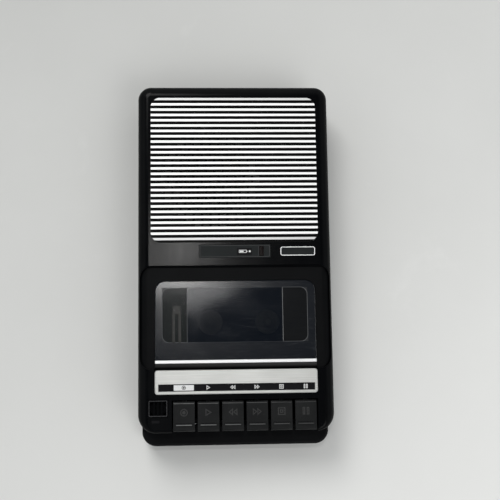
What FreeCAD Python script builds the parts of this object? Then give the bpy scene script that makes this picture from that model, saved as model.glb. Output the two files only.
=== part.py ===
import FreeCAD, Part
import math
import os
import types
import Sketcher

# Portable shoebox cassette recorder, lying on its back.
# +Z points out of the front face, +Y from the piano keys to the loudspeaker end,
# +X to the right of the front face. Millimetres. The origin is the centre of the
# footprint, on the plane that the rubber feet rest on.

V = FreeCAD.Vector

# Driving dimensions, each one a cell of the sheet.
DRIVING = {
    # Case
    "body_width": 142.0,
    "body_length": 256.0,
    "handle_reach": 11.0,
    "foot_height": 2.0,
    "case_depth": 47.5,
    "back_depth": 22.0,
    "wall": 2.2,
    "corner_top": 9.7,
    "corner_keys": 13.0,
    "side_roll": 8.0,
    "key_end_roll": 2.0,
    "back_bevel": 1.6,
    "insert_gap": 0.3,
    "running_gap": 0.06,
    # Grille and loudspeaker
    "grille_width": 123.6,
    "grille_from_top": 9.4,
    "grille_length": 109.6,
    "grille_corner": 7.6,
    "grille_ledge": 2.2,
    "grille_plate": 1.4,
    "grille_seat_depth": 2.9,
    "rib_height": 1.1,
    "bar_height": 0.45,
    "bar_width": 2.3,
    "bar_pitch": 4.06,
    "bar_count": 27,
    "bar_inset": 1.35,
    "slot_length": 4.4,
    "slot_width": 1.1,
    "slot_pitch": 6.2,
    "slot_circle": 36.4,
    "speaker_from_top": 71.7,
    "speaker_offset": 17.6,
    "speaker_radius": 38.5,
    "speaker_depth": 23.0,
    "magnet_radius": 21.0,
    "magnet_depth": 9.0,
    # Strip under the grille
    "indicator_width": 52.6,
    "indicator_length": 9.9,
    "indicator_from_top": 130.4,
    "indicator_depth": 1.2,
    "indicator_plate": 0.8,
    "lamp_width": 3.2,
    "lamp_length": 7.0,
    "lamp_offset": 19.5,
    "badge_width": 25.6,
    "badge_length": 6.7,
    "badge_offset": 46.2,
    "badge_plate": 0.6,
    "badge_sunk": 0.3,
    # Recess round the cassette door
    "recess_top": 135.8,
    "recess_width": 139.2,
    "recess_depth": 2.5,
    "recess_corner": 9.5,
    "recess_slope": 1.6,
    "recess_foot_corner": 9.0,
    # Cassette door
    "door_width": 117.0,
    "door_top": 147.0,
    "door_corner": 7.7,
    "door_axis": 206.9,
    "door_axis_height": 44.2,
    "lip_radius": 4.2,
    "lip_wall": 1.3,
    "window_plate": 1.5,
    "door_frame_plate": 2.0,
    "window_opening_width": 94.4,
    "window_opening_top": 152.1,
    "window_opening_low": 191.9,
    "trim_width": 2.3,
    "trim_height": 0.5,
    "door_pin_radius": 1.2,
    "well_wall": 1.6,
    # Tape and cassette
    "cassette_width": 100.4,
    "cassette_length": 63.8,
    "cassette_body": 8.7,
    "cassette_head": 12.0,
    "cassette_offset": 3.0,
    "cassette_slack": 0.4,
    "hub_spacing": 42.5,
    "hub_to_spine": 29.3,
    # Nameplate
    "nameplate_width": 117.3,
    "nameplate_top": 211.6,
    "nameplate_length": 17.2,
    "nameplate_rise": 0.5,
    "nameplate_sunk": 0.4,
    # Piano keys
    "key_pitch": 17.55,
    "key_side_gap": 2.15,
    "key_width": "=key_pitch - key_side_gap",
    "key_first": -37.9,
    "key_back": 233.8,
    "key_front_inset": 0.8,
    "key_top": 48.3,
    "key_plate": 2.2,
    "key_skirt": 1.8,
    "key_skirt_low": 31.0,
    "key_gap": 1.0,
    "lever_width": 3.0,
    "shaft_radius": 2.0,
    "shaft_from_end": 26.5,
    "shaft_height": 39.0,
    "lever_hub": 3.6,
    "lever_reach": 19.0,
    "ridge_width": 11.8,
    "ridge_length": 1.2,
    "ridge_height": 0.7,
    "ridge_from_front": 4.6,
    # Microphone
    "mic_width": 14.7,
    "mic_length": 12.6,
    "mic_offset": -56.4,
    "mic_from_end": 17.4,
    "mic_border": 1.3,
    # Deck and drive
    "deck_top": 31.0,
    "deck_plate": 1.4,
    "flywheel_radius": 19.0,
    "flywheel_thickness": 5.5,
    "flywheel_low": 9.5,
    "capstan_radius": 1.2,
    "capstan_offset": 24.0,
    "capstan_inside": 5.5,
    "pinch_radius": 6.0,
    "pinch_reach": 16.03,
    "motor_radius": 13.5,
    "motor_height": 14.4,
    "pulley_radius": 3.4,
    "belt_thickness": 1.2,
    "belt_height": 12.2,
    "reel_radius": 9.0,
    "reel_shaft": 3.1,
    "head_travel": 3.6,
    # Battery bay
    "cell_diameter": 26.2,
    "cell_length": 50.0,
    "bay_wall": 1.6,
    "bay_centre": 38.2,
    "bay_from_top": 6.5,
    "bay_height": 28.2,
    "cover_thickness": 2.2,
    # Thumbwheels
    "wheel_radius": 9.0,
    "wheel_thickness": 4.4,
    "wheel_inset": 0.4,
    "volume_from_top": 127.5,
    "tone_from_top": 147.5,
    # Sockets
    "jack_bore": 1.8,
    "jack_barrel": 3.4,
    "jack_height": 14.5,
    "ear_from_top": 169.5,
    "mic_jack_from_top": 183.5,
    "dc_bore": 2.9,
    "dc_barrel": 4.6,
    # Carrying handle
    "handle_width": 138.6,
    "handle_low": 7.0,
    "handle_height": 14.0,
    "handle_corner": 11.0,
    "arm_width": 6.0,
    "arm_height": 10.0,
    "arm_length": 58.0,
    "handle_travel": 38.0,
}


class Size:
    """A number together with the sheet expression that gives it."""

    def __init__(self, value, text):
        self.value = float(value)
        self.text = text

    def __add__(self, other):
        return Size(self.value + number(other), f"({self.text} + {wording(other)})")

    def __sub__(self, other):
        return Size(self.value - number(other), f"({self.text} - {wording(other)})")

    def __mul__(self, other):
        return Size(self.value * number(other), f"({self.text} * {wording(other)})")

    def __truediv__(self, other):
        return Size(self.value / number(other), f"({self.text} / {wording(other)})")

    def __radd__(self, other):
        return Size(number(other) + self.value, f"({wording(other)} + {self.text})")

    def __rsub__(self, other):
        return Size(number(other) - self.value, f"({wording(other)} - {self.text})")

    def __rmul__(self, other):
        return self * other

    def __neg__(self):
        return self * -1


def number(size):
    return size.value if isinstance(size, Size) else float(size)


def wording(size):
    return size.text if isinstance(size, Size) else f"({float(size)})"


doc = FreeCAD.newDocument("CassetteRecorder")
sheet = doc.addObject("Spreadsheet::Sheet", "Dims")
d = types.SimpleNamespace()
for row, (alias, value) in enumerate(DRIVING.items(), 1):
    sheet.set(f"A{row}", alias)
    sheet.set(f"B{row}", str(value))
    sheet.setAlias(f"B{row}", alias)
doc.recompute()
for alias in DRIVING:
    setattr(d, alias, Size(sheet.get(alias), "Dims." + alias))

# Levels and lines that many pieces share.
side = d.body_width / 2
top = (d.body_length + d.handle_reach) / 2
key_end = top - d.body_length
handle_end = key_end - d.handle_reach
case_back = d.foot_height
split = case_back + d.back_depth
front = case_back + d.case_depth
floor = case_back + d.wall
ceiling = front - d.wall
door_top = top - d.door_top
door_axis = top - d.door_axis
recess_floor = front - d.recess_depth
deck_under = d.deck_top - d.deck_plate
cassette_spine = door_top - d.insert_gap
cassette_edge = cassette_spine - d.cassette_length
hub_line = cassette_spine - d.hub_to_spine
cassette_middle = d.deck_top + d.cassette_slack + d.cassette_head / 2
shaft_line = key_end + d.shaft_from_end
OVERSHOOT = 1.0
DRUM_FLATS = 32

nodes = []


def node(item, label):
    """Name a finished sub-part and keep it for export."""
    item.Label = label
    nodes.append(item)
    return item


def bind(item, name, size):
    setattr(item, name, number(size))
    if isinstance(size, Size):
        item.setExpression(name, size.text)


def place(item, x, y, z, turn=None):
    item.Placement = FreeCAD.Placement(V(number(x), number(y), number(z)), turn or FreeCAD.Rotation())
    for axis, size in zip("xyz", (x, y, z)):
        if isinstance(size, Size):
            item.setExpression("Placement.Base." + axis, size.text)


def box(name, x, y, z):
    """A block between the low and high value of each axis."""
    item = doc.addObject("Part::Box", name)
    for side_name, (low, high) in zip(("Length", "Width", "Height"), (x, y, z)):
        bind(item, side_name, high - low)
    place(item, x[0], y[0], z[0])
    return item


TURNS = {
    "X": FreeCAD.Rotation(V(0, 1, 0), 90),
    "Y": FreeCAD.Rotation(V(1, 0, 0), -90),
    "Z": FreeCAD.Rotation(),
}


def cylinder(name, radius, start, length, axis="Z"):
    """A round bar that runs from start along an axis."""
    item = doc.addObject("Part::Cylinder", name)
    bind(item, "Radius", radius)
    bind(item, "Height", length)
    place(item, *start, turn=TURNS[axis])
    return item


def rod(name, radius, start, length, axis="Z"):
    """A small post, screw or pin with eight flats."""
    item = doc.addObject("Part::Prism", name)
    item.Polygon = 8
    bind(item, "Circumradius", radius)
    bind(item, "Height", length)
    place(item, *start, turn=TURNS[axis])
    return item


def drum(name, radius, start, length, axis="Z"):
    """A larger round piece with many flats."""
    item = rod(name, radius, start, length, axis)
    item.Polygon = DRUM_FLATS
    return item


def flared(name, rings, x, y):
    """A round shell of flat panels, through a closed loop of rings (radius, height)."""
    angles = [2 * math.pi * index / DRUM_FLATS for index in range(DRUM_FLATS + 1)]
    loops = []
    for radius, height in rings:
        reach = number(radius)
        loops.append([
            V(number(x) + reach * math.cos(angle), number(y) + reach * math.sin(angle), number(height))
            for angle in angles
        ])
    panels = []
    for low, high in zip(loops, loops[1:] + loops[:1]):
        for index in range(DRUM_FLATS):
            corners = [low[index], low[index + 1], high[index + 1], high[index]]
            panels.append(Part.Face(Part.makePolygon(corners + corners[:1])))
    item = doc.addObject("Part::Feature", name)
    item.Shape = Part.Solid(Part.Shell(panels))
    return item


def fuse(name, *items):
    if len(items) == 1:
        return items[0]
    item = doc.addObject("Part::MultiFuse", name)
    item.Shapes = list(items)
    item.Refine = True
    return item


def cut(name, base, *tools):
    item = doc.addObject("Part::Cut", name)
    item.Base = base
    item.Tool = fuse(name + "_tools", *tools)
    item.Refine = True
    return item


def common(name, first, second):
    item = doc.addObject("Part::Common", name)
    item.Base = first
    item.Tool = second
    return item


def group(name, items):
    item = doc.addObject("Part::Compound", name)
    item.Links = list(items)
    return item


def worked(kind, name, base, chosen):
    """Fillet or chamfer the edges that chosen gives a size or a pair of sizes for."""
    doc.recompute()
    item = doc.addObject(kind, name)
    item.Base = base
    edges = []
    for index, edge in enumerate(base.Shape.Edges, 1):
        radii = chosen(edge)
        if radii:
            first, last = radii if isinstance(radii, tuple) else (radii, radii)
            edges.append((index, number(first), number(last)))
    item.Edges = edges
    return item


def rounded(name, base, chosen):
    return worked("Part::Fillet", name, base, chosen)


def bevelled(name, base, chosen):
    return worked("Part::Chamfer", name, base, chosen)


def level(edge, z):
    """True where an edge lies wholly at one height."""
    return all(abs(point.Point.z - number(z)) < 1e-4 for point in edge.Vertexes)


def rectangle(x, y, radii=(0, 0, 0, 0)):
    """Corners of a rectangle with the radii of its low-left, low-right, high-right, high-left."""
    return [
        (x[0], y[0], radii[0]),
        (x[1], y[0], radii[1]),
        (x[1], y[1], radii[2]),
        (x[0], y[1], radii[3]),
    ]


def fix_point(sketch, shape, end, u, v):
    for kind, size in (("DistanceX", u), ("DistanceY", v)):
        index = sketch.addConstraint(Sketcher.Constraint(kind, -1, 1, shape, end, number(size)))
        if isinstance(size, Size):
            sketch.setExpression(f"Constraints[{index}]", size.text)


def draw_outline(sketch, corners):
    """Draw a closed outline through corners (u, v, radius), anticlockwise, fully constrained."""
    count = len(corners)
    points = [V(number(u), number(v), 0) for u, v, _ in corners]
    entries = []
    exits = []
    arcs = []
    for index, (u, v, radius) in enumerate(corners):
        here = points[index]
        if number(radius) == 0:
            entries.append(here)
            exits.append(here)
            arcs.append(None)
            continue
        back = (points[index - 1] - here).normalize()
        ahead = (points[(index + 1) % count] - here).normalize()
        half_angle = back.getAngle(ahead) / 2
        reach = number(radius) / math.tan(half_angle)
        centre = here + (back + ahead).normalize() * (number(radius) / math.sin(half_angle))
        entries.append(here + back * reach)
        exits.append(here + ahead * reach)
        left_turn = (back.cross(ahead)).z < 0
        first, last = (entries[-1], exits[-1]) if left_turn else (exits[-1], entries[-1])
        start = math.atan2(first.y - centre.y, first.x - centre.x)
        finish = math.atan2(last.y - centre.y, last.x - centre.x)
        if finish < start:
            finish += 2 * math.pi
        circle = Part.Circle(centre, V(0, 0, 1), number(radius))
        shape = sketch.addGeometry(Part.ArcOfCircle(circle, start, finish), False)
        arcs.append((shape, 1 if left_turn else 2, 2 if left_turn else 1))
    lines = []
    for index in range(count):
        after = (index + 1) % count
        lines.append(sketch.addGeometry(Part.LineSegment(exits[index], entries[after]), False))
    for index, (u, v, radius) in enumerate(corners):
        before = lines[index - 1]
        after = lines[index]
        if arcs[index] is None:
            sketch.addConstraint(Sketcher.Constraint("Coincident", before, 2, after, 1))
            fix_point(sketch, after, 1, u, v)
            continue
        shape, entry, leave = arcs[index]
        corner = sketch.addGeometry(Part.Point(points[index]), True)
        sketch.addConstraint(Sketcher.Constraint("PointOnObject", corner, 1, before))
        sketch.addConstraint(Sketcher.Constraint("PointOnObject", corner, 1, after))
        fix_point(sketch, corner, 1, u, v)
        sketch.addConstraint(Sketcher.Constraint("Tangent", before, 2, shape, entry))
        sketch.addConstraint(Sketcher.Constraint("Tangent", after, 1, shape, leave))
        ring = sketch.addConstraint(Sketcher.Constraint("Radius", shape, number(radius)))
        if isinstance(radius, Size):
            sketch.setExpression(f"Constraints[{ring}]", radius.text)


def sketch_on(body, plane, offset):
    sketch = body.newObject("Sketcher::SketchObject", body.Name + "_sketch")
    face = [item for item in body.Origin.OriginFeatures if item.Role == plane + "_Plane"][0]
    sketch.AttachmentSupport = [(face, "")]
    sketch.MapMode = "FlatFace"
    sketch.AttachmentOffset = FreeCAD.Placement(V(0, 0, number(offset)), FreeCAD.Rotation())
    if isinstance(offset, Size):
        sketch.setExpression("AttachmentOffset.Base.z", offset.text)
    return sketch


def prism(name, plane, corners, span):
    """A body padded from an outline: XY along Z, YZ along X or XZ along Y, over the span."""
    body = doc.addObject("PartDesign::Body", name)
    low, high = span
    offset = -1 * high if plane == "XZ" else low
    sketch = sketch_on(body, plane, offset)
    draw_outline(sketch, corners)
    pad = body.newObject("PartDesign::Pad", name + "_pad")
    pad.Profile = sketch
    bind(pad, "Length", high - low)
    return body


def turned(name, corners, x, y, z=0.0, axis="Z"):
    """A body of revolution: corners are (radius, height) about an axis through the place."""
    body = doc.addObject("PartDesign::Body", name)
    sketch = sketch_on(body, "XZ", 0.0)
    draw_outline(sketch, corners)
    turn = body.newObject("PartDesign::Revolution", name + "_turn")
    turn.Profile = sketch
    turn.ReferenceAxis = (sketch, ["V_Axis"])
    turn.Angle = 360.0
    place(body, x, y, z, turn=TURNS[axis])
    return body


def case_outline(inset):
    """The case seen from the front, drawn in by inset."""
    radii = (d.corner_keys - inset, d.corner_keys - inset, d.corner_top - inset, d.corner_top - inset)
    return rectangle((-side + inset, side - inset), (key_end + inset, top - inset), radii)


# Places of the six keys, from the left: record, play, rewind, forward, stop, pause.
KEY_NAMES = ("record_key", "play_key", "rewind_key", "forward_key", "stop_key", "pause_key")


def key_middle(index):
    return d.key_first + d.key_pitch * index


key_front = key_end + d.key_front_inset
key_back = top - d.key_back
well_left = key_middle(0) - d.key_width / 2 - d.key_gap
well_right = key_middle(5) + d.key_width / 2 + d.key_gap
WELL_WALL = 1.6
BRACKET_FROM_SIDE = 9.45
STOP_WALL_FROM_END = 5.9
STOP_WALL_TOP = 34.3
WELL_LEDGE = 1.4

# Small bevel on both halves of the case where they meet.
SEAM = 0.3

# Screw posts that join the two halves of the case.
POST_RADIUS = 3.2
SCREW_RADIUS = 1.3
SCREW_LENGTH = 21.0
HEAD_RADIUS = 2.5
HEAD_LENGTH = 2.0
HEAD_SEAT = 8.0
POSTS = [
    (-side + 7.5, top - 9.0),
    (4.0, top - 7.0),
    (-side + 6.2, door_top + 8.5),
    (-30.0, key_end + 6.4),
    (38.0, key_end + 6.4),
]

# Screws that hold the deck to four posts beside the door.
DECK_SCREWS = [(x, y) for x in (-62.6, 62.6) for y in (door_top - 15.0, door_top - 66.0)]
DECK_SCREW_RADIUS = 1.2
DECK_SCREW_LENGTH = 7.0
DECK_HEAD = 1.2

# Carrying handle
arm_outer = d.handle_width / 2
arm_inner = arm_outer - d.arm_width
arm_low = d.handle_low + (d.handle_height - d.arm_height) / 2
arm_high = arm_low + d.arm_height
arm_back = key_end + d.arm_length
RAIL_WALL = 2.1
PIN_HEIGHT = 2.4
PIN_LENGTH = 3.0

# Battery bay
bay_width = d.cell_diameter * 2 + 0.8
bay_length = d.cell_length * 2 + 6.4
bay_left = d.bay_centre - bay_width / 2
bay_right = d.bay_centre + bay_width / 2
bay_high = top - d.bay_from_top
bay_low = bay_high - bay_length
bay_ceiling = case_back + d.bay_height
BAY_END_LIP = 2.0
BAY_SIDE_LIP = 0.3

# Grille opening
grille_high = top - d.grille_from_top
grille_low = grille_high - d.grille_length
grille_side = d.grille_width / 2
grille_seat = front - d.grille_seat_depth
LEDGE_PLATE = 2.0

# Thumbwheels at the right side
wheel_x = side - d.wheel_inset - d.wheel_radius
wheel_low = split + 0.5
wheel_high = wheel_low + d.wheel_thickness
WHEELS = (("volume", top - d.volume_from_top), ("tone", top - d.tone_from_top))

# Sockets at the right side and the top end
JACKS = (("ear_jack", top - d.ear_from_top), ("mic_jack", top - d.mic_jack_from_top))
INLET_X = (-44.0, -26.0)
INLET_Z = (9.0, 18.0)
DC_X = -54.0
DC_Z = 13.5

# Nameplate
nameplate_side = d.nameplate_width / 2
nameplate_high = top - d.nameplate_top
nameplate_low = nameplate_high - d.nameplate_length

# Strip between the grille and the door recess
indicator_high = top - d.indicator_from_top + d.indicator_length
indicator_low = top - d.indicator_from_top
indicator_middle = (indicator_high + indicator_low) / 2
badge_middle = indicator_middle - 0.4
recess_top = top - d.recess_top

# Microphone grille
mic_middle = key_end + d.mic_from_end


def front_roll(edge):
    """Radius of the front rim: broad along the sides and top, small along the key end."""
    if not level(edge, front):
        return None
    key_line = number(key_end)
    wide = number(d.side_roll)
    small = number(d.key_end_roll)
    ends = [edge.valueAt(edge.FirstParameter), edge.valueAt(edge.LastParameter)]
    first, last = [small if abs(end.y - key_line) < 1e-4 else wide for end in ends]
    return (first, last)


# The hollow under the rolled rim, in steps: how far in from the wall, how far under the ceiling.
CORE_STEPS = ((0.0, 6.8), (1.2, 3.3), (4.5, 0.0))
SEAT_PLAY = 0.2
BED_FROM_SIDE = 6.0
WELL_PLAY = 0.4
DECK_POST_RADIUS = 2.6
PILOT_PLAY = 0.05
PILOT_DEPTH = 8.0
HINGE_HOLE_DEPTH = 4.0
MIC_SEAT_DEPTH = 1.2


def front_cabinet():
    outer = prism("front_outer", "XY", case_outline(0.0), (split, front))
    outer = rounded("front_rolled", outer, front_roll)
    outer = bevelled("front_seam", outer, lambda edge: SEAM if level(edge, split) else None)
    steps = []
    for inset, drop in CORE_STEPS:
        span = (split - OVERSHOOT, ceiling - drop)
        steps.append(prism("front_core", "XY", case_outline(d.wall + inset), span))
    shell = cut("front_shell", outer, *steps)

    margin = d.grille_ledge + SEAT_PLAY
    seat = box(
        "grille_seat",
        (-grille_side - margin, grille_side + margin),
        (grille_low - margin, grille_high + margin),
        (grille_seat - LEDGE_PLATE, front - d.wall / 2),
    )
    bed = box(
        "door_bed",
        (-side + BED_FROM_SIDE, side - BED_FROM_SIDE),
        (nameplate_high - 1.0, recess_top + 3.0),
        (recess_floor - d.wall, front - d.wall / 2),
    )
    well_half = d.door_width / 2 + d.insert_gap
    pieces = [shell, seat, bed]
    wall_span = (cassette_edge - 1.2, door_top + d.insert_gap + d.well_wall)
    for sign in (-1, 1):
        inner = sign * (well_half + WELL_PLAY)
        outer_face = sign * (well_half + WELL_PLAY + d.well_wall)
        x = (inner, outer_face) if sign > 0 else (outer_face, inner)
        pieces.append(box("well_side", x, wall_span, (d.deck_top, recess_floor - 1.0)))
    pieces.append(box(
        "well_top",
        (-well_half - WELL_PLAY, well_half + WELL_PLAY),
        (door_top + d.insert_gap, wall_span[1]),
        (d.deck_top, recess_floor - 1.0),
    ))
    # Pocket for the keys, with a low wall behind their skirts.
    stop_wall = (key_end + STOP_WALL_FROM_END, key_end + STOP_WALL_FROM_END + WELL_WALL)
    well_x = (well_left - WELL_WALL, well_right + WELL_WALL)
    pieces.append(box("key_stop_wall", well_x, stop_wall, (split, STOP_WALL_TOP)))
    pieces.append(box("key_ledge", well_x, (key_end + 1.0, stop_wall[1]), (split, split + WELL_LEDGE)))
    for x in ((well_left - WELL_WALL, well_left), (well_right, well_right + WELL_WALL)):
        pieces.append(box("key_cheek", x, (key_end + 1.0, key_back + 0.8), (split, ceiling + 0.5)))
    for x, y in POSTS:
        pieces.append(rod("front_post", POST_RADIUS, (x, y, split), post_length(y)))
    for x, y in DECK_SCREWS:
        pieces.append(rod("deck_post", DECK_POST_RADIUS, (x, y, d.deck_top), ceiling - d.deck_top))
    solid = fuse("front_solid", *pieces)

    tools = [
        grille_tool("grille_pocket", 0.0, (grille_seat, front + OVERSHOOT)),
        grille_tool("grille_hole", d.grille_ledge, (grille_seat - LEDGE_PLATE - OVERSHOOT, front)),
        recess_tool(),
        prism(
            "door_hole",
            "XY",
            rectangle(
                (-well_half, well_half),
                (door_axis - d.lip_radius - d.insert_gap, door_top + d.insert_gap),
                (0, 0, d.door_corner + d.insert_gap, d.door_corner + d.insert_gap),
            ),
            (recess_floor - 6.0, front + OVERSHOOT),
        ),
        box(
            "nameplate_seat",
            (-nameplate_side - SEAT_PLAY, nameplate_side + SEAT_PLAY),
            (nameplate_low - SEAT_PLAY, nameplate_high + 0.5),
            (front - d.nameplate_sunk, front + OVERSHOOT),
        ),
        box(
            "indicator_seat",
            (-d.indicator_width / 2, d.indicator_width / 2),
            (indicator_low, indicator_high),
            (front - d.indicator_depth, front + OVERSHOOT),
        ),
        lamp_tool("lamp_hole", (ceiling - OVERSHOOT, front)),
        box(
            "badge_seat",
            (d.badge_offset - d.badge_width / 2, d.badge_offset + d.badge_width / 2),
            (badge_middle - d.badge_length / 2, badge_middle + d.badge_length / 2),
            (front - d.badge_sunk, front + OVERSHOOT),
        ),
        box(
            "key_pocket",
            (well_left, well_right),
            (key_end - OVERSHOOT, key_back + 0.8),
            (STOP_WALL_TOP, front + OVERSHOOT),
        ),
        box(
            "skirt_pocket",
            (well_left, well_right),
            (key_end - OVERSHOOT, stop_wall[0]),
            (split + WELL_LEDGE, STOP_WALL_TOP + OVERSHOOT),
        ),
        box(
            "mic_seat",
            (d.mic_offset - d.mic_width / 2 - 0.1, d.mic_offset + d.mic_width / 2 + 0.1),
            (mic_middle - d.mic_length / 2 - 0.1, mic_middle + d.mic_length / 2 + 0.1),
            (front - MIC_SEAT_DEPTH, front + OVERSHOOT),
        ),
        box(
            "mic_hole",
            (d.mic_offset - d.mic_width / 2 + d.mic_border, d.mic_offset + d.mic_width / 2 - d.mic_border),
            (mic_middle - d.mic_length / 2 + d.mic_border, mic_middle + d.mic_length / 2 - d.mic_border),
            (ceiling - 2.0, front),
        ),
    ]
    for sign in (-1, 1):
        pin_hole = d.door_pin_radius + d.running_gap
        start = well_half - 1.0 if sign > 0 else -well_half - HINGE_HOLE_DEPTH + 1.0
        tools.append(
            cylinder("hinge_hole", pin_hole, (start, door_axis, d.door_axis_height), HINGE_HOLE_DEPTH, "X")
        )
    for name, y in WHEELS:
        tools += wheel_tools(name, y)
    for x, y in POSTS:
        tools.append(rod(
            "front_pilot", SCREW_RADIUS + PILOT_PLAY, (x, y, split - OVERSHOOT), PILOT_DEPTH + OVERSHOOT
        ))
    for x, y in DECK_SCREWS:
        tools.append(rod(
            "deck_pilot", DECK_SCREW_RADIUS + PILOT_PLAY, (x, y, d.deck_top - OVERSHOOT), PILOT_DEPTH
        ))
    node(cut("front_case", solid, *tools), "front_cabinet")


POST_UNDER_KEYS = 9.5


def post_length(y):
    """Posts under the key ledge stop short of the key pocket."""
    if number(y) < number(key_back):
        return POST_UNDER_KEYS
    return ceiling - split + 0.6


def grille_tool(name, inset, span):
    radius = d.grille_corner - inset
    return prism(
        name,
        "XY",
        rectangle(
            (-grille_side + inset, grille_side - inset),
            (grille_low + inset, grille_high - inset),
            (radius, radius, radius, radius),
        ),
        span,
    )


def recess_tool():
    """The sunk field round the door: the case surface let down by the recess depth."""
    half = d.recess_width / 2
    foot = d.recess_foot_corner
    field = prism(
        "recess_field",
        "XY",
        rectangle(
            (-half, half),
            (nameplate_high + 0.3, recess_top),
            (foot, foot, d.recess_corner, d.recess_corner),
        ),
        (recess_floor - 9.0, front + OVERSHOOT),
    )
    lowered = prism("recess_lowered", "XY", case_outline(0.0), (split, recess_floor))
    lowered = rounded(
        "recess_rolled", lowered, lambda edge: d.side_roll - 0.5 if level(edge, recess_floor) else None
    )
    slope = prism(
        "recess_slope",
        "YZ",
        [
            (recess_top - d.recess_slope, recess_floor - OVERSHOOT, 0),
            (recess_top + OVERSHOOT, recess_floor - OVERSHOOT, 0),
            (recess_top + OVERSHOOT, front + 2 * OVERSHOOT, 0),
            (recess_top + 0.5, front + 0.5, 0),
            (recess_top - d.recess_slope, recess_floor, 0),
        ],
        (-side, side),
    )
    return cut("recess", field, lowered, slope)


def lamp_tool(name, span):
    half_width = d.lamp_width / 2 + SEAT_PLAY
    half_length = d.lamp_length / 2 + SEAT_PLAY
    return box(
        name,
        (d.lamp_offset - half_width, d.lamp_offset + half_width),
        (indicator_middle - half_length, indicator_middle + half_length),
        span,
    )


WHEEL_PLAY = 0.6
SCOOP_RADIUS = 22.0
SCOOP_DEPTH = 1.3


def wheel_tools(name, y):
    """The slot that a thumbwheel turns in, and the finger scoop beside it."""
    slot_half = d.wheel_radius + WHEEL_PLAY
    slot = box(
        name + "_slot",
        (side - d.wall - 1.0, side + OVERSHOOT),
        (y - slot_half, y + slot_half),
        (split - OVERSHOOT, wheel_high + 0.5),
    )
    scoop = cylinder(
        name + "_scoop",
        SCOOP_RADIUS,
        (side + SCOOP_RADIUS - SCOOP_DEPTH, y, split - OVERSHOOT),
        wheel_high - split + 3.0,
    )
    return [slot, scoop]


def rear_cabinet():
    outer = prism("rear_outer", "XY", case_outline(0.0), (case_back, split))
    outer = bevelled("rear_bevelled", outer, lambda edge: d.back_bevel if level(edge, case_back) else None)
    outer = bevelled("rear_seam", outer, lambda edge: SEAM if level(edge, split) else None)
    core = prism("rear_core", "XY", case_outline(d.wall), (floor, split + OVERSHOOT))
    shell = cut("rear_shell", outer, core)

    # Blocks that the handle arms slide in, trimmed to the case outline.
    rails = []
    rail_inner = arm_inner - d.insert_gap - RAIL_WALL
    rail_span = (key_end, arm_back + d.insert_gap + 2.0)
    for sign in (-1, 1):
        x = (rail_inner, side) if sign > 0 else (-side, -rail_inner)
        rails.append(box("rail_block", x, rail_span, (floor - 0.5, arm_high + 2.2)))
    trim = prism("rail_trim", "XY", case_outline(0.4), (case_back, split))
    rail = common("rails", group("rail_blocks", rails), trim)

    tub = box(
        "bay_tub",
        (bay_left - d.bay_wall, bay_right + d.bay_wall),
        (bay_low - d.bay_wall, bay_high + d.bay_wall),
        (floor - 0.5, bay_ceiling + d.bay_wall),
    )
    pieces = [shell, rail, tub]
    for x, y in POSTS:
        pieces.append(rod("rear_post", POST_RADIUS, (x, y, floor - 0.5), split - floor + 0.5))
    solid = fuse("rear_solid", *pieces)

    tools = [
        box("bay_space", (bay_left, bay_right), (bay_low, bay_high), (floor, bay_ceiling)),
        box(
            "bay_mouth",
            (bay_left + BAY_SIDE_LIP, bay_right - BAY_SIDE_LIP),
            (bay_low + BAY_END_LIP, bay_high - BAY_END_LIP),
            (case_back - OVERSHOOT, floor + OVERSHOOT),
        ),
        box(
            "inlet_hole",
            (INLET_X[0] - 0.2, INLET_X[1] + 0.2),
            (top - d.wall - OVERSHOOT, top + OVERSHOOT),
            (INLET_Z[0] - 0.2, INLET_Z[1] + 0.2),
        ),
        cylinder("dc_hole", d.dc_barrel + 0.05, (DC_X, top - d.wall - OVERSHOOT, DC_Z), 6.0, "Y"),
    ]
    for name, y in JACKS:
        start = side - d.wall - OVERSHOOT
        tools.append(cylinder(name + "_hole", d.jack_barrel + 0.05, (start, y, d.jack_height), 6.0, "X"))
    gap = d.insert_gap
    slot_span = (arm_back - d.handle_travel - PIN_LENGTH - 1.0, arm_back - 0.5)
    for sign in (-1, 1):
        inner = arm_inner - gap
        groove = (inner, side + OVERSHOOT) if sign > 0 else (-side - OVERSHOOT, -inner)
        slot = (inner - RAIL_WALL - OVERSHOOT, inner + 0.5)
        slot = slot if sign > 0 else (-slot[1], -slot[0])
        tools.append(box(
            "arm_groove",
            groove,
            (key_end - OVERSHOOT, arm_back + gap),
            (arm_low - gap, arm_high + gap),
        ))
        middle = (arm_low + arm_high) / 2
        tools.append(box(
            "pin_slot",
            slot,
            slot_span,
            (middle - PIN_HEIGHT / 2 - gap, middle + PIN_HEIGHT / 2 + gap),
        ))
    for x, y in POSTS:
        tools.append(rod("screw_hole", SCREW_RADIUS + SEAT_PLAY, (x, y, case_back - OVERSHOOT), 30.0))
        tools.append(
            drum("screw_well", HEAD_RADIUS + SEAT_PLAY, (x, y, case_back - OVERSHOOT), HEAD_SEAT + OVERSHOOT)
        )
    node(cut("rear_case", solid, *tools), "rear_cabinet")


def cabinet_screws():
    """Five self-tapping screws, put in from the back."""
    screws = []
    seat = case_back + HEAD_SEAT
    for x, y in POSTS:
        shank = rod("shank", SCREW_RADIUS, (x, y, seat), SCREW_LENGTH)
        head = rod("head", HEAD_RADIUS, (x, y, seat - HEAD_LENGTH), HEAD_LENGTH)
        screws.append(fuse("screw", shank, head))
    node(group("screws", screws), "cabinet_screws")


FOOT_BEVEL = 1.3


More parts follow.
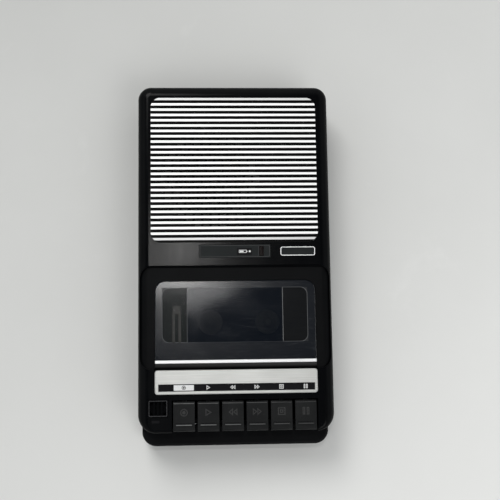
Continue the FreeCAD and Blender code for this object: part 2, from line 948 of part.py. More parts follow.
def rubber_feet():
    """Four strips glued to the back, near its ends."""
    feet = []
    half_width = 8.0
    half_length = 2.0
    for y in (top - 4.7, key_end + 6.4):
        for x in (-48.0, 48.0):
            x_span = (x - half_width, x + half_width)
            blank = box("foot", x_span, (y - half_length, y + half_length), (0.0, case_back))
            feet.append(bevelled("foot_bevelled", blank, upright_edge))
    node(group("feet", feet), "rubber_feet")


def upright_edge(edge):
    """Bevel of a foot's four upright edges."""
    first, last = [point.Point for point in edge.Vertexes]
    return FOOT_BEVEL if abs(first.x - last.x) + abs(first.y - last.y) < 1e-4 else None


def grille_panel():
    """Black plastic panel with a rib under each bar and slots over the loudspeaker."""
    gap = 0.15
    plate = grille_tool("panel_plate", gap, (grille_seat, grille_seat + d.grille_plate))
    ribs = common(
        "panel_ribs",
        group("rib_bars", bar_boxes("rib", grille_seat + d.grille_plate - 0.1, rib_top())),
        grille_tool("rib_field", gap, (grille_seat, front)),
    )
    rim_outer = grille_tool("rim_outer", gap, (grille_seat, rib_top()))
    rim_inner = grille_tool("rim_inner", gap + 0.8, (grille_seat + d.grille_plate, front))
    rim = cut("panel_rim", rim_outer, rim_inner)
    solid = fuse("panel_solid", plate, ribs, rim)
    slots = doc.addObject("Part::Feature", "speaker_slots")
    slots.Shape = Part.makeCompound(slot_solids())
    node(cut("panel_slotted", solid, slots), "grille_panel")


def rib_top():
    return grille_seat + d.grille_plate + d.rib_height


def bar_middle(index):
    return grille_high - d.bar_inset - d.bar_pitch * index


def bar_boxes(name, low, high, inset=0.0):
    bars = []
    for index in range(int(number(d.bar_count))):
        y = bar_middle(index)
        half = d.bar_width / 2 - inset
        bars.append(box(name, (-grille_side, grille_side), (y - half, y + half), (low, high)))
    return bars


def slot_solids():
    """Rows of slots in the grooves between the ribs, inside the loudspeaker's circle."""
    solids = []
    centre_x = -number(d.speaker_offset)
    centre_y = number(top - d.speaker_from_top)
    length = number(d.slot_length)
    width = number(d.slot_width)
    low = number(grille_seat) - OVERSHOOT
    for index in range(int(number(d.bar_count)) - 1):
        y = number(bar_middle(index)) - number(d.bar_pitch) / 2
        half_chord_square = number(d.slot_circle) ** 2 - (y - centre_y) ** 2
        if half_chord_square <= 0:
            continue
        count = int((2 * math.sqrt(half_chord_square) + 1.8) // number(d.slot_pitch))
        for place_index in range(count):
            x = centre_x + (place_index - (count - 1) / 2) * number(d.slot_pitch)
            corner = V(x - length / 2, y - width / 2, low)
            solids.append(Part.makeBox(length, width, number(d.grille_plate) + 2 * OVERSHOOT, corner))
    return solids


def grille_bars():
    """Bright aluminium strips, one on each rib."""
    low = rib_top()
    crown = low + d.bar_height
    field = grille_tool("bar_field", 0.4, (low - OVERSHOOT, front + OVERSHOOT))
    bars = []
    for blank in bar_boxes("bar", low, crown):
        bars.append(bevelled("bar_bevelled", blank, lambda edge: 0.3 if level(edge, crown) else None))
    node(common("bar_strips", group("bar_blanks", bars), field), "grille_bars")


def strip_parts():
    """Indicator panel, lamp and badge plate between the grille and the door."""
    half = d.indicator_width / 2
    low = front - d.indicator_depth
    panel = box(
        "indicator_blank",
        (-half + 0.15, half - 0.15),
        (indicator_low + 0.15, indicator_high - 0.15),
        (low, low + d.indicator_plate),
    )
    node(cut("indicator", panel, lamp_tool("lamp_window", (low - OVERSHOOT, front))), "indicator_panel")
    half_width = d.lamp_width / 2
    half_length = d.lamp_length / 2
    lens = box(
        "lens",
        (d.lamp_offset - half_width, d.lamp_offset + half_width),
        (indicator_middle - half_length, indicator_middle + half_length),
        (ceiling - 1.6, low + d.indicator_plate - 0.2),
    )
    flange = box(
        "lens_flange",
        (d.lamp_offset - half_width - 1.0, d.lamp_offset + half_width + 1.0),
        (indicator_middle - half_length, indicator_middle + half_length),
        (ceiling - 1.6, ceiling),
    )
    node(fuse("lamp", lens, flange), "indicator_led")
    corner = 1.6
    badge = prism(
        "badge",
        "XY",
        rectangle(
            (d.badge_offset - d.badge_width / 2 + 0.1, d.badge_offset + d.badge_width / 2 - 0.1),
            (badge_middle - d.badge_length / 2 + 0.1, badge_middle + d.badge_length / 2 - 0.1),
            (corner, corner, corner, corner),
        ),
        (front - d.badge_sunk, front - d.badge_sunk + d.badge_plate),
    )
    node(badge, "badge_plate")


def nameplate():
    """Brushed plate above the keys, with bevelled edges."""
    high = front + d.nameplate_rise
    blank = prism(
        "nameplate_blank",
        "XY",
        rectangle((-nameplate_side, nameplate_side), (nameplate_low, nameplate_high), (2.0, 2.0, 2.0, 2.0)),
        (front - d.nameplate_sunk, high),
    )
    node(bevelled("nameplate_edge", blank, lambda edge: 0.45 if level(edge, high) else None), "nameplate")


CAPSULE_RADIUS = 5.7


def mic_parts():
    """Framed microphone grille with upright louvres, and the capsule behind it."""
    half_x = d.mic_width / 2
    half_y = d.mic_length / 2
    seat = front - MIC_SEAT_DEPTH
    louvre_half = 0.45
    frame = box(
        "mic_frame",
        (d.mic_offset - half_x, d.mic_offset + half_x),
        (mic_middle - half_y, mic_middle + half_y),
        (seat, front + 0.3),
    )
    border = d.mic_border + 0.5
    hollow = box(
        "mic_hollow",
        (d.mic_offset - half_x + border, d.mic_offset + half_x - border),
        (mic_middle - half_y + border, mic_middle + half_y - border),
        (seat - OVERSHOOT, front + OVERSHOOT),
    )
    pieces = [cut("mic_ring", frame, hollow)]
    louvres = 4
    pitch = (d.mic_width - border * 2) / louvres
    for index in range(1, louvres):
        x = d.mic_offset - half_x + border + pitch * index
        y_span = (mic_middle - half_y + border - 0.2, mic_middle + half_y - border + 0.2)
        pieces.append(box("mic_louvre", (x - louvre_half, x + louvre_half), y_span, (seat, front - 0.1)))
    node(fuse("mic_louvres", *pieces), "mic_grille")
    depth = 7.6
    capsule = drum("capsule", CAPSULE_RADIUS, (d.mic_offset, mic_middle, ceiling - depth), depth)
    node(capsule, "mic_capsule")


RIM_DEPTH = 1.7
BASKET_SHEET = 1.2
MAGNET_TO_CUP = 8.0
BASKET_HOLE = 7.0
PAPER = 0.8


def speaker():
    """Three-inch loudspeaker hung behind the grille: basket, cone and magnet."""
    x = -d.speaker_offset
    y = top - d.speaker_from_top
    rim_top = grille_seat
    rim_low = rim_top - RIM_DEPTH
    back = rim_top - (d.speaker_depth - d.magnet_depth)
    inner = d.speaker_radius - 4.2
    cup = d.magnet_radius + MAGNET_TO_CUP
    depth = rim_top - back
    basket = cut(
        "basket",
        fuse(
            "basket_blank",
            drum("basket_cup", cup, (x, y, back), depth),
            drum("basket_rim", d.speaker_radius, (x, y, rim_low), rim_top - rim_low),
        ),
        drum("basket_mouth", inner, (x, y, rim_low + BASKET_SHEET), depth),
        drum("basket_hollow", cup - BASKET_SHEET, (x, y, back + BASKET_SHEET), depth),
        drum("basket_hole", BASKET_HOLE, (x, y, back - OVERSHOOT), BASKET_SHEET + 2 * OVERSHOOT),
    )
    node(basket, "speaker_frame")
    edge = cup - BASKET_SHEET
    neck = 6.0
    cap_low = back + 4.4
    edge_low = rim_low + 0.4
    funnel = flared(
        "funnel",
        [
            (neck, cap_low),
            (edge - 0.3, edge_low),
            (edge, edge_low),
            (edge, edge_low + PAPER),
            (edge - 0.6, edge_low + PAPER),
            (neck, cap_low + PAPER),
        ],
        x,
        y,
    )
    node(fuse("cone", funnel, drum("dust_cap", neck + 1.0, (x, y, cap_low), PAPER)), "speaker_cone")
    magnet = drum("magnet_ring", d.magnet_radius, (x, y, back - d.magnet_depth), d.magnet_depth)
    pole = drum("magnet_pole", BASKET_HOLE - 0.1, (x, y, back - 0.5), 3.0)
    node(fuse("magnet", magnet, pole), "speaker_magnet")


DOOR_END_WALL = 1.6
BRIDGE_LENGTH = 2.6
GUIDE_WALL = 1.8
SHELF_REACH = 3.0
SHELF_PLATE = 1.2
EAR_RADIUS = 2.9
EAR_WIDTH = 2.0
PIN_REACH = 2.6
LEAF_PLACES = (-43.2, 49.2)
LEAF_LENGTH = 26.0
LEAF_HALF = 2.2
LEAF_PLATE = 0.6


def door_parts():
    """Cassette door: frame with guides and hinge pins, smoked plate, bright trim, springs."""
    half = d.door_width / 2
    plate_low = recess_floor - 0.1
    plate_high = plate_low + d.window_plate
    frame_low = plate_low - d.door_frame_plate
    corner = d.door_corner
    inset = 0.6
    frame = prism(
        "door_plate",
        "XY",
        rectangle(
            (-half + inset, half - inset),
            (door_axis - 1.0, door_top - inset),
            (0, 0, corner - inset, corner - inset),
        ),
        (frame_low, plate_low),
    )
    opening_left = d.cassette_offset - d.window_opening_width / 2
    opening_right = d.cassette_offset + d.window_opening_width / 2
    opening = box(
        "door_opening",
        (opening_left, opening_right),
        (top - d.window_opening_low, top - d.window_opening_top),
        (frame_low - OVERSHOOT, plate_low + OVERSHOOT),
    )
    # Quarter-round lip that turns about the hinge axis.
    z = d.door_axis_height
    lip_round = cylinder("lip_round", d.lip_radius, (-half, door_axis, z), d.door_width, "X")
    lip_hollow = cylinder(
        "lip_hollow",
        d.lip_radius - d.lip_wall,
        (-half + DOOR_END_WALL, door_axis, z),
        d.door_width - 2 * DOOR_END_WALL,
        "X",
    )
    lip_keep = box(
        "lip_keep", (-half, half), (door_axis - d.lip_radius, door_axis + 0.01), (z, z + d.lip_radius)
    )
    lip = common("lip", cut("lip_shell", lip_round, lip_hollow), lip_keep)
    bridge_y = (door_axis - 0.01, door_axis + BRIDGE_LENGTH)
    bridge = box("lip_bridge", (-half, half), bridge_y, (frame_low, plate_high))
    guides = []
    gap = d.cassette_slack
    shelf_high = cassette_middle - d.cassette_body / 2 - 0.3
    shelf_low = shelf_high - SHELF_PLATE
    guide_y = (cassette_edge + 4.0, cassette_edge + 46.0)
    for sign in (-1, 1):
        edge = sign * (d.cassette_width / 2 + gap) + d.cassette_offset
        wall = (edge, edge + GUIDE_WALL) if sign > 0 else (edge - GUIDE_WALL, edge)
        shelf = (edge - SHELF_REACH, wall[1]) if sign > 0 else (wall[0], edge + SHELF_REACH)
        guides.append(box("guide_wall", wall, guide_y, (shelf_low, frame_low + 0.1)))
        guides.append(box("guide_shelf", shelf, guide_y, (shelf_low, shelf_high)))
    ears = []
    pins = []
    for sign in (-1, 1):
        ear = half - EAR_WIDTH if sign > 0 else -half
        ears.append(cylinder("door_ear", EAR_RADIUS, (ear, door_axis, z), EAR_WIDTH, "X"))
        start = half - 0.5 if sign > 0 else -half - PIN_REACH
        pins.append(cylinder("door_pin", d.door_pin_radius, (start, door_axis, z), PIN_REACH + 0.5, "X"))
    solid = fuse("door_solid", cut("door_ring", frame, opening), lip, bridge, *guides, *ears, *pins)
    node(solid, "door_frame")

    window = prism(
        "window_blank",
        "XY",
        rectangle((-half, half), (door_axis + BRIDGE_LENGTH, door_top), (0, 0, corner, corner)),
        (plate_low, plate_high),
    )
    window = bevelled(
        "window_edge",
        window,
        lambda edge: 0.6 if level(edge, plate_high) and edge.CenterOfMass.y > number(door_axis) + 3 else None,
    )
    node(window, "door_window")

    trim_top = plate_high + d.trim_height
    trim = box(
        "trim",
        (-half, half),
        (door_axis + 0.1, door_axis + 0.1 + d.trim_width),
        (plate_high, trim_top),
    )
    node(bevelled("trim_edge", trim, lambda edge: 0.3 if level(edge, trim_top) else None), "door_trim")

    springs = []
    for x in LEAF_PLACES:
        y = cassette_edge + 8.0
        x_span = (x - LEAF_HALF, x + LEAF_HALF)
        springs.append(box("leaf", x_span, (y, y + LEAF_LENGTH), (frame_low - LEAF_PLATE, frame_low)))
    node(group("leaf_springs", springs), "cassette_springs")


HUB_HALF = 3.0


def keys():
    """Six piano keys, each a cap with a skirt and a lever that swings on the common shaft."""
    for index, name in enumerate(KEY_NAMES):
        middle = key_middle(index)
        half = d.key_width / 2
        cap = prism(
            name + "_cap",
            "YZ",
            [
                (key_front, d.key_skirt_low, 0),
                (key_front + d.key_skirt, d.key_skirt_low, 0),
                (key_front + d.key_skirt, d.key_top - d.key_plate, 0),
                (key_back, d.key_top - d.key_plate, 0),
                (key_back, d.key_top - 0.7, 0),
                (key_back - 1.6, d.key_top, 0),
                (key_front, d.key_top, 1.0),
            ],
            (middle - half, middle + half),
        )
        hub_y = shaft_line
        hub_z = d.shaft_height
        arm_low_z = hub_z - d.lever_reach
        lever = prism(
            name + "_lever",
            "YZ",
            [
                (hub_y - 1.6, arm_low_z, 0),
                (hub_y + 1.4, arm_low_z, 0),
                (hub_y + 1.4, hub_z - 2.0, 0),
                (hub_y + 2.8, hub_z + 2.4, 0),
                (hub_y - 3.5, d.key_top - d.key_plate + 0.2, 0),
                (key_front + 3.0, d.key_top - d.key_plate + 0.2, 0),
                (key_front + 3.0, d.key_top - d.key_plate - 3.0, 0),
                (key_back - 7.5, d.key_top - d.key_plate - 3.6, 0),
                (hub_y - 3.0, hub_z - 3.0, 0),
                (hub_y - 1.6, hub_z - 4.0, 0),
            ],
            (middle - d.lever_width / 2, middle + d.lever_width / 2),
        )
        hub = rod(name + "_hub", d.lever_hub, (middle - HUB_HALF, hub_y, hub_z), 2 * HUB_HALF, "X")
        ridge_middle = key_front + d.ridge_from_front
        ridge = box(
            name + "_ridge",
            (middle - d.ridge_width / 2, middle + d.ridge_width / 2),
            (ridge_middle - d.ridge_length / 2, ridge_middle + d.ridge_length / 2),
            (d.key_top - 0.1, d.key_top + d.ridge_height),
        )
        bore = cylinder(
            name + "_bore",
            d.shaft_radius + d.running_gap,
            (middle - HUB_HALF - OVERSHOOT, hub_y, hub_z),
            2 * (HUB_HALF + OVERSHOOT),
            "X",
        )
        node(cut(name + "_bored", fuse(name + "_solid", cap, lever, hub, ridge), bore), name)


CHEEK = 1.5
SHAFT_BEYOND = 2.5
BRACKET_FOOT = 7.0
COIL_LENGTH = 3.4


def key_carrier():
    """Steel shaft through all six keys, with a bracket at each end that stands on the deck."""
    left = well_left - 4.0
    right = side - BRACKET_FROM_SIDE
    start = left - SHAFT_BEYOND
    shaft = cylinder(
        "shaft", d.shaft_radius, (start, shaft_line, d.shaft_height), right + SHAFT_BEYOND - start, "X"
    )
    node(shaft, "key_shaft")
    brackets = []
    back = shaft_line + 11.0
    high = d.shaft_height + 4.5
    for x, sign in ((left, -1), (right, 1)):
        cheek_x = (x, x + CHEEK) if sign > 0 else (x - CHEEK, x)
        foot_x = (x - BRACKET_FOOT, x + CHEEK) if sign > 0 else (x - CHEEK, x + BRACKET_FOOT)
        cheek = box("cheek", cheek_x, (shaft_line - 4.5, back), (d.deck_top, high))
        flange = box("flange", foot_x, (shaft_line + 6.0, back), (d.deck_top, d.deck_top + 1.2))
        hole = cylinder("cheek_hole", d.shaft_radius + 0.03, (x - 3.0, shaft_line, d.shaft_height), 6.0, "X")
        brackets.append(cut("bracket", fuse("bracket_blank", cheek, flange), hole))
    node(group("brackets", brackets), "key_brackets")
    # Torsion springs round the shaft, one beside each lever.
    coils = []
    for index in range(len(KEY_NAMES)):
        x = key_middle(index) + HUB_HALF + 0.3
        ring = rod("coil", d.shaft_radius + 1.3, (x, shaft_line, d.shaft_height), COIL_LENGTH, "X")
        start = (x - 0.5, shaft_line, d.shaft_height)
        hole = rod("coil_hole", d.shaft_radius + 0.4, start, COIL_LENGTH + 1.0, "X")
        coils.append(cut("torsion_coil", ring, hole))
    node(group("coils", coils), "key_springs")


capstan_x = d.cassette_offset + d.capstan_offset
capstan_y = cassette_edge + d.capstan_inside
MOTOR_X = -37.0
motor_y = capstan_y + 6.0
takeup_x = d.cassette_offset + d.hub_spacing / 2
supply_x = d.cassette_offset - d.hub_spacing / 2
deck_edge = shaft_line + 4.5
head_front = cassette_edge - 2.1
pinch_x = capstan_x + 1.0
pinch_y = capstan_y - 11.0
PIVOT_RADIUS = 1.5
BEARING_RADIUS = 3.5
REEL_STUB = 1.5
TAB_HALF = 3.5
TAB_X = (key_middle(1) - TAB_HALF, key_middle(1) + TAB_HALF)


def deck():
    """Steel deck that carries the reels, heads, capstan and motor."""
    wide = d.door_width / 2 + 7.0
    blank = box("deck_blank", (-wide, wide), (deck_edge, door_top + 4.0), (deck_under, d.deck_top))
    tools = [
        box(
            "tab_notch",
            (TAB_X[0] - 1.5, TAB_X[1] + 1.5),
            (deck_edge - OVERSHOOT, deck_edge + d.head_travel + 2.0),
            (deck_under - OVERSHOOT, d.deck_top + OVERSHOOT),
        ),
        cylinder(
            "capstan_hole", BEARING_RADIUS + PILOT_PLAY, (capstan_x, capstan_y, deck_under - OVERSHOOT), 5.0
        ),
    ]
    through = d.deck_plate + 2 * OVERSHOOT
    for x, y in DECK_SCREWS:
        tools.append(rod("screw_hole", DECK_SCREW_RADIUS + SEAT_PLAY, (x, y, deck_under - OVERSHOOT), through))
    for x in (supply_x, takeup_x):
        tools.append(
            cylinder("reel_hole", REEL_STUB + d.running_gap, (x, hub_line, deck_under - OVERSHOOT), through)
        )
    plate = cut("deck_cut", blank, *tools)
    pivot = cylinder("pinch_pivot", PIVOT_RADIUS, (pivot_x(), pivot_y(), d.deck_top - 0.5), 5.7)
    node(fuse("deck_solid", plate, pivot), "deck_plate")
    screws = []
    for x, y in DECK_SCREWS:
        shank = rod("deck_shank", DECK_SCREW_RADIUS, (x, y, deck_under), DECK_SCREW_LENGTH)
        head = rod("deck_head", DECK_SCREW_RADIUS + 1.0, (x, y, deck_under - DECK_HEAD), DECK_HEAD)
        screws.append(fuse("deck_screw", shank, head))
    node(group("deck_fasteners", screws), "deck_screws")


def pivot_x():
    return pinch_x + d.pinch_reach


def pivot_y():
    return pinch_y - 1.0


GROOVE = 1.0
SHAFT_BELOW = 2.4
CAPSTAN_TOP = 43.0
BRACKET_SHEET = 1.2
BRACKET_HALF = 3.0


def drive():
    """Motor, belt, flywheel with the capstan, its bearing and thrust bracket, and the reels."""
    low = d.flywheel_low
    high = low + d.flywheel_thickness
    middle = d.belt_height
    groove_low = middle - d.belt_thickness
    groove_high = middle + d.belt_thickness
    wheel = cut(
        "wheel",
        fuse(
            "wheel_blank",
            drum("wheel_back", d.flywheel_radius, (capstan_x, capstan_y, low), groove_low - low),
            drum("wheel_core", d.flywheel_radius - GROOVE, (capstan_x, capstan_y, low), high - low),
            drum("wheel_face", d.flywheel_radius, (capstan_x, capstan_y, groove_high), high - groove_high),
        ),
        cylinder(
            "wheel_bore",
            d.capstan_radius,
            (capstan_x, capstan_y, low - OVERSHOOT),
            d.flywheel_thickness + 2 * OVERSHOOT,
        ),
    )
    node(wheel, "flywheel")
    shaft_end = low - SHAFT_BELOW
    shaft = cylinder("capstan", d.capstan_radius, (capstan_x, capstan_y, shaft_end), CAPSTAN_TOP - shaft_end)
    node(shaft, "capstan_shaft")
    bearing = turned(
        "bearing",
        [
            (d.capstan_radius + 0.03, deck_under - 4.0, 0),
            (BEARING_RADIUS, deck_under - 4.0, 0),
            (BEARING_RADIUS, d.deck_top + 1.2, 0),
            (d.capstan_radius + 0.03, d.deck_top + 1.2, 0),
        ],
        capstan_x,
        capstan_y,
    )
    node(bearing, "capstan_bearing")
    reach = d.flywheel_radius + 3.5
    strap_high = shaft_end - 0.2
    strap_low = strap_high - BRACKET_SHEET
    y_span = (capstan_y - BRACKET_HALF, capstan_y + BRACKET_HALF)
    left = capstan_x - reach
    right = capstan_x + reach
    strap = box("strap", (left, right), y_span, (strap_low, strap_high))
    legs = []
    for x in ((left, left + BRACKET_SHEET), (right - BRACKET_SHEET, right)):
        legs.append(box("leg", x, y_span, (strap_low, deck_under)))
    node(fuse("thrust_bracket", strap, *legs), "flywheel_bracket")

    motor_top = deck_under - 0.1
    can = drum("motor_can", d.motor_radius, (MOTOR_X, motor_y, motor_top - d.motor_height), d.motor_height)
    node(can, "motor")
    shaft_low = middle - 2.4
    motor_low = motor_top - d.motor_height
    pulley = fuse(
        "pulley",
        drum("pulley_rim", d.pulley_radius, (MOTOR_X, motor_y, shaft_low), middle + 1.8 - shaft_low),
        cylinder("motor_shaft", 1.0, (MOTOR_X, motor_y, shaft_low), motor_low - 0.1 - shaft_low),
    )
    node(pulley, "motor_pulley")
    belt = doc.addObject("Part::Feature", "belt")
    belt.Shape = belt_solid()
    node(belt, "drive_belt")
    for label, x in (("supply_spindle", supply_x), ("takeup_spindle", takeup_x)):
        node(reel(label, x), label)


def belt_solid():
    """Flat belt round the flywheel groove and the motor pulley, open and crossed by no leg."""
    centres = (V(number(capstan_x), number(capstan_y), 0), V(MOTOR_X, number(motor_y), 0))
    clearance = 0.25
    radii = (number(d.flywheel_radius) - GROOVE + clearance, number(d.pulley_radius) + clearance)
    outer = loop_face(centres, [radius + number(d.belt_thickness) for radius in radii])
    inner = loop_face(centres, radii)
    half = number(d.belt_thickness) / 2
    band = outer.cut(inner)
    band.translate(V(0, 0, number(d.belt_height) - half))
    return band.extrude(V(0, 0, 2 * half)).Solids[0]


def loop_face(centres, radii):
    """Face of the region inside a taut loop round two circles."""
    along = centres[1] - centres[0]
    span = along.Length
    heading = math.atan2(along.y, along.x)
    tilt = math.acos((radii[0] - radii[1]) / span)
    ends = []
    for sign in (1, -1):
        angle = heading + sign * tilt
        direction = V(math.cos(angle), math.sin(angle), 0)
        ends.append([centre + direction * radius for centre, radius in zip(centres, radii)])
    back = centres[0] - along.normalize() * radii[0]
    front_point = centres[1] + along * radii[1]
    return Part.Face(Part.Wire([
        Part.LineSegment(ends[0][0], ends[0][1]).toShape(),
        Part.Arc(ends[0][1], front_point, ends[1][1]).toShape(),
        Part.LineSegment(ends[1][1], ends[1][0]).toShape(),
        Part.Arc(ends[1][0], back, ends[0][0]).toShape(),
    ]))


REEL_TABLE = 1.4
SPLINE_WIDTH = 1.0
SPLINE_HEIGHT = 6.0


def reel(name, x):
    """Reel table with a three-splined spindle and a stub that turns in the deck."""
    low = d.deck_top + 0.6
    shaft_high = cassette_middle + 4.2
    stub_low = deck_under - 1.5
    pieces = [
        drum(name + "_table", d.reel_radius, (x, hub_line, low), REEL_TABLE),
        cylinder(name + "_stub", REEL_STUB, (x, hub_line, stub_low), low + 0.5 - stub_low),
        drum(name + "_shaft", d.reel_shaft, (x, hub_line, low), shaft_high - low),
    ]
    for index in range(3):
        spline = doc.addObject("Part::Box", name + "_spline")
        bind(spline, "Length", d.reel_shaft + 1.0)
        bind(spline, "Width", SPLINE_WIDTH)
        bind(spline, "Height", SPLINE_HEIGHT)
        angle = 90 + 120 * index
        turn = FreeCAD.Rotation(V(0, 0, 1), angle)
        shift = turn.multVec(V(0, -SPLINE_WIDTH / 2, 0))
        place(spline, x + shift.x, hub_line + shift.y, low + REEL_TABLE - 0.1, turn=turn)
        pieces.append(spline)
    return fuse(name + "_solid", *pieces)


SLIDE_PLATE = 1.2
HEAD_HALF = 6.5
HEAD_ROUND = 3.0
ERASE_FROM_HEAD = 15.0
AXLE_RADIUS = 1.0
ROLLER_LENGTH = 7.2


def heads():
    """Sliding head plate with both heads, and the pinch roller on its arm."""
    low = d.deck_top + 0.3
    high = low + SLIDE_PLATE
    left = TAB_X[0] - 2.0
    right = d.cassette_offset + 12.0
    plate = box("slide_plate", (left, right), (deck_edge + 0.5, head_front - 0.9), (low, high))
    neck = box("slide_neck", TAB_X, (shaft_line + 2.1, deck_edge + 1.0), (low, high))
    tab = box(
        "slide_tab", TAB_X, (shaft_line + 2.1, shaft_line + 3.3), (d.shaft_height - d.lever_reach, high)
    )
    node(fuse("slide", plate, neck, tab), "head_plate")
    head = prism(
        "head",
        "XY",
        rectangle(
            (d.cassette_offset - HEAD_HALF, d.cassette_offset + HEAD_HALF),
            (head_front - 8.5, head_front),
            (0, 0, HEAD_ROUND, HEAD_ROUND),
        ),
        (high, cassette_middle + 3.6),
    )
    node(head, "play_head")
    erase_x = d.cassette_offset - ERASE_FROM_HEAD
    erase = prism(
        "erase",
        "XY",
        rectangle((erase_x - 3.0, erase_x + 3.0), (head_front - 6.5, head_front - 0.8), (0, 0, 1.5, 1.5)),
        (high, cassette_middle + 3.1),
    )
    node(erase, "erase_head")

    arm_low_z = d.deck_top + 0.4
    arm_high_z = arm_low_z + SLIDE_PLATE
    arm = box("arm_bar", (pinch_x, pivot_x()), (pinch_y - 3.4, pinch_y + 2.2), (arm_low_z, arm_high_z))
    knuckle = drum("arm_knuckle", 3.4, (pivot_x(), pivot_y(), arm_low_z), 4.4)
    tip = rod("arm_tip", 2.8, (pinch_x, pinch_y, arm_low_z), SLIDE_PLATE)
    axle_length = ROLLER_LENGTH + SLIDE_PLATE + 1.0
    axle = cylinder("arm_axle", AXLE_RADIUS, (pinch_x, pinch_y, arm_low_z), axle_length)
    bore = cylinder("arm_bore", PIVOT_RADIUS + d.running_gap, (pivot_x(), pivot_y(), arm_low_z - 1.0), 8.0)
    node(cut("pinch_lever", fuse("arm_solid", arm, knuckle, tip, axle), bore), "pinch_arm")
    roller_low = arm_high_z + 0.4
    roller = cut(
        "roller",
        drum("roller_tyre", d.pinch_radius, (pinch_x, pinch_y, roller_low), ROLLER_LENGTH),
        cylinder("roller_bore", AXLE_RADIUS + PILOT_PLAY, (pinch_x, pinch_y, roller_low - OVERSHOOT), 10.0),
    )
    node(roller, "pinch_roller")


BOARD = 1.6
BOARD_RISE = 1.8
POT_HALF = 5.5
POT_RISE = 2.8
POT_SHAFT = 1.9


def electronics():
    """Main board with its parts, transformer, and the control board with its two pots."""
    low = floor + BOARD_RISE
    high = low + BOARD
    left = -side + 10.5
    board = box("board", (left, 2.0), (hub_line - 4.0, grille_low + 2.0), (low, high))
    posts = []
    for x in (left + 4.0, -4.0):
        for y in (hub_line, grille_low - 2.0):
            posts.append(rod("board_post", 2.4, (x, y, floor), BOARD_RISE))
    node(board, "circuit_board")
    node(group("board_posts", posts), "board_spacers")
    parts = [
        rod("capacitor", 5.0, (-54.0, 6.0, high), 14.0),
        rod("capacitor", 4.0, (-44.0, 8.0, high), 12.0),
        rod("capacitor", 3.2, (-36.0, 10.0, high), 9.0),
        box("chip", (-34.0, -14.0), (-8.0, -1.0), (high, high + 3.6)),
        box("coil_can", (-57.0, -47.0), (-18.0, -8.0), (high, high + 11.0)),
        box("record_switch", (-44.0, -8.0), (-32.0, -24.0), (high, high + 7.0)),
        box("heat_fin", (-26.0, -8.0), (6.0, 8.0), (high, high + 12.0)),
    ]
    node(group("board_fill", parts), "board_components")
    core = box("core", (-side + 9.0, -28.0), (top - 46.0, top - 22.0), (floor, floor + 20.0))
    coil = box("coil_former", (-side + 14.0, -33.0), (top - 49.0, top - 19.0), (floor + 4.0, floor + 16.0))
    node(fuse("mains_transformer", core, coil), "transformer")
    edge = side - d.wall - 0.8
    low_board = wheel_low - 5.2
    y_low = top - d.tone_from_top - 10.0
    y_high = top - d.volume_from_top + 10.0
    board_high = low_board + BOARD
    pot_high = board_high + POT_RISE
    control = box("control_blank", (edge - 18.0, edge), (y_low, y_high), (low_board, board_high))
    node(control, "control_board")
    pots = []
    for name, y in WHEELS:
        x_span = (wheel_x - POT_HALF, wheel_x + POT_HALF)
        pot = box(name + "_pot", x_span, (y - POT_HALF, y + POT_HALF), (board_high, pot_high))
        spindle = cylinder(name + "_spindle", POT_SHAFT, (wheel_x, y, pot_high), wheel_high - pot_high)
        pots.append(fuse(name + "_control", pot, spindle))
    node(group("pots", pots), "control_pots")


def thumbwheels():
    """Knurled volume and tone wheels, turned at the right side."""
    for name, y in WHEELS:
        wheel = cut(
            name + "_turned",
            drum(name + "_rim", d.wheel_radius, (wheel_x, y, wheel_low), d.wheel_thickness),
            cylinder(
                name + "_bore",
                POT_SHAFT + PILOT_PLAY,
                (wheel_x, y, wheel_low - OVERSHOOT),
                d.wheel_thickness + 2 * OVERSHOOT,
            ),
        )
        node(wheel, name + "_wheel")


JACK_HALF = 4.5
INLET_HALF = 2.8
INLET_HOLE = 4.0
CONTACT_RADIUS = 1.2
SOCKET_DEPTH = 11.0


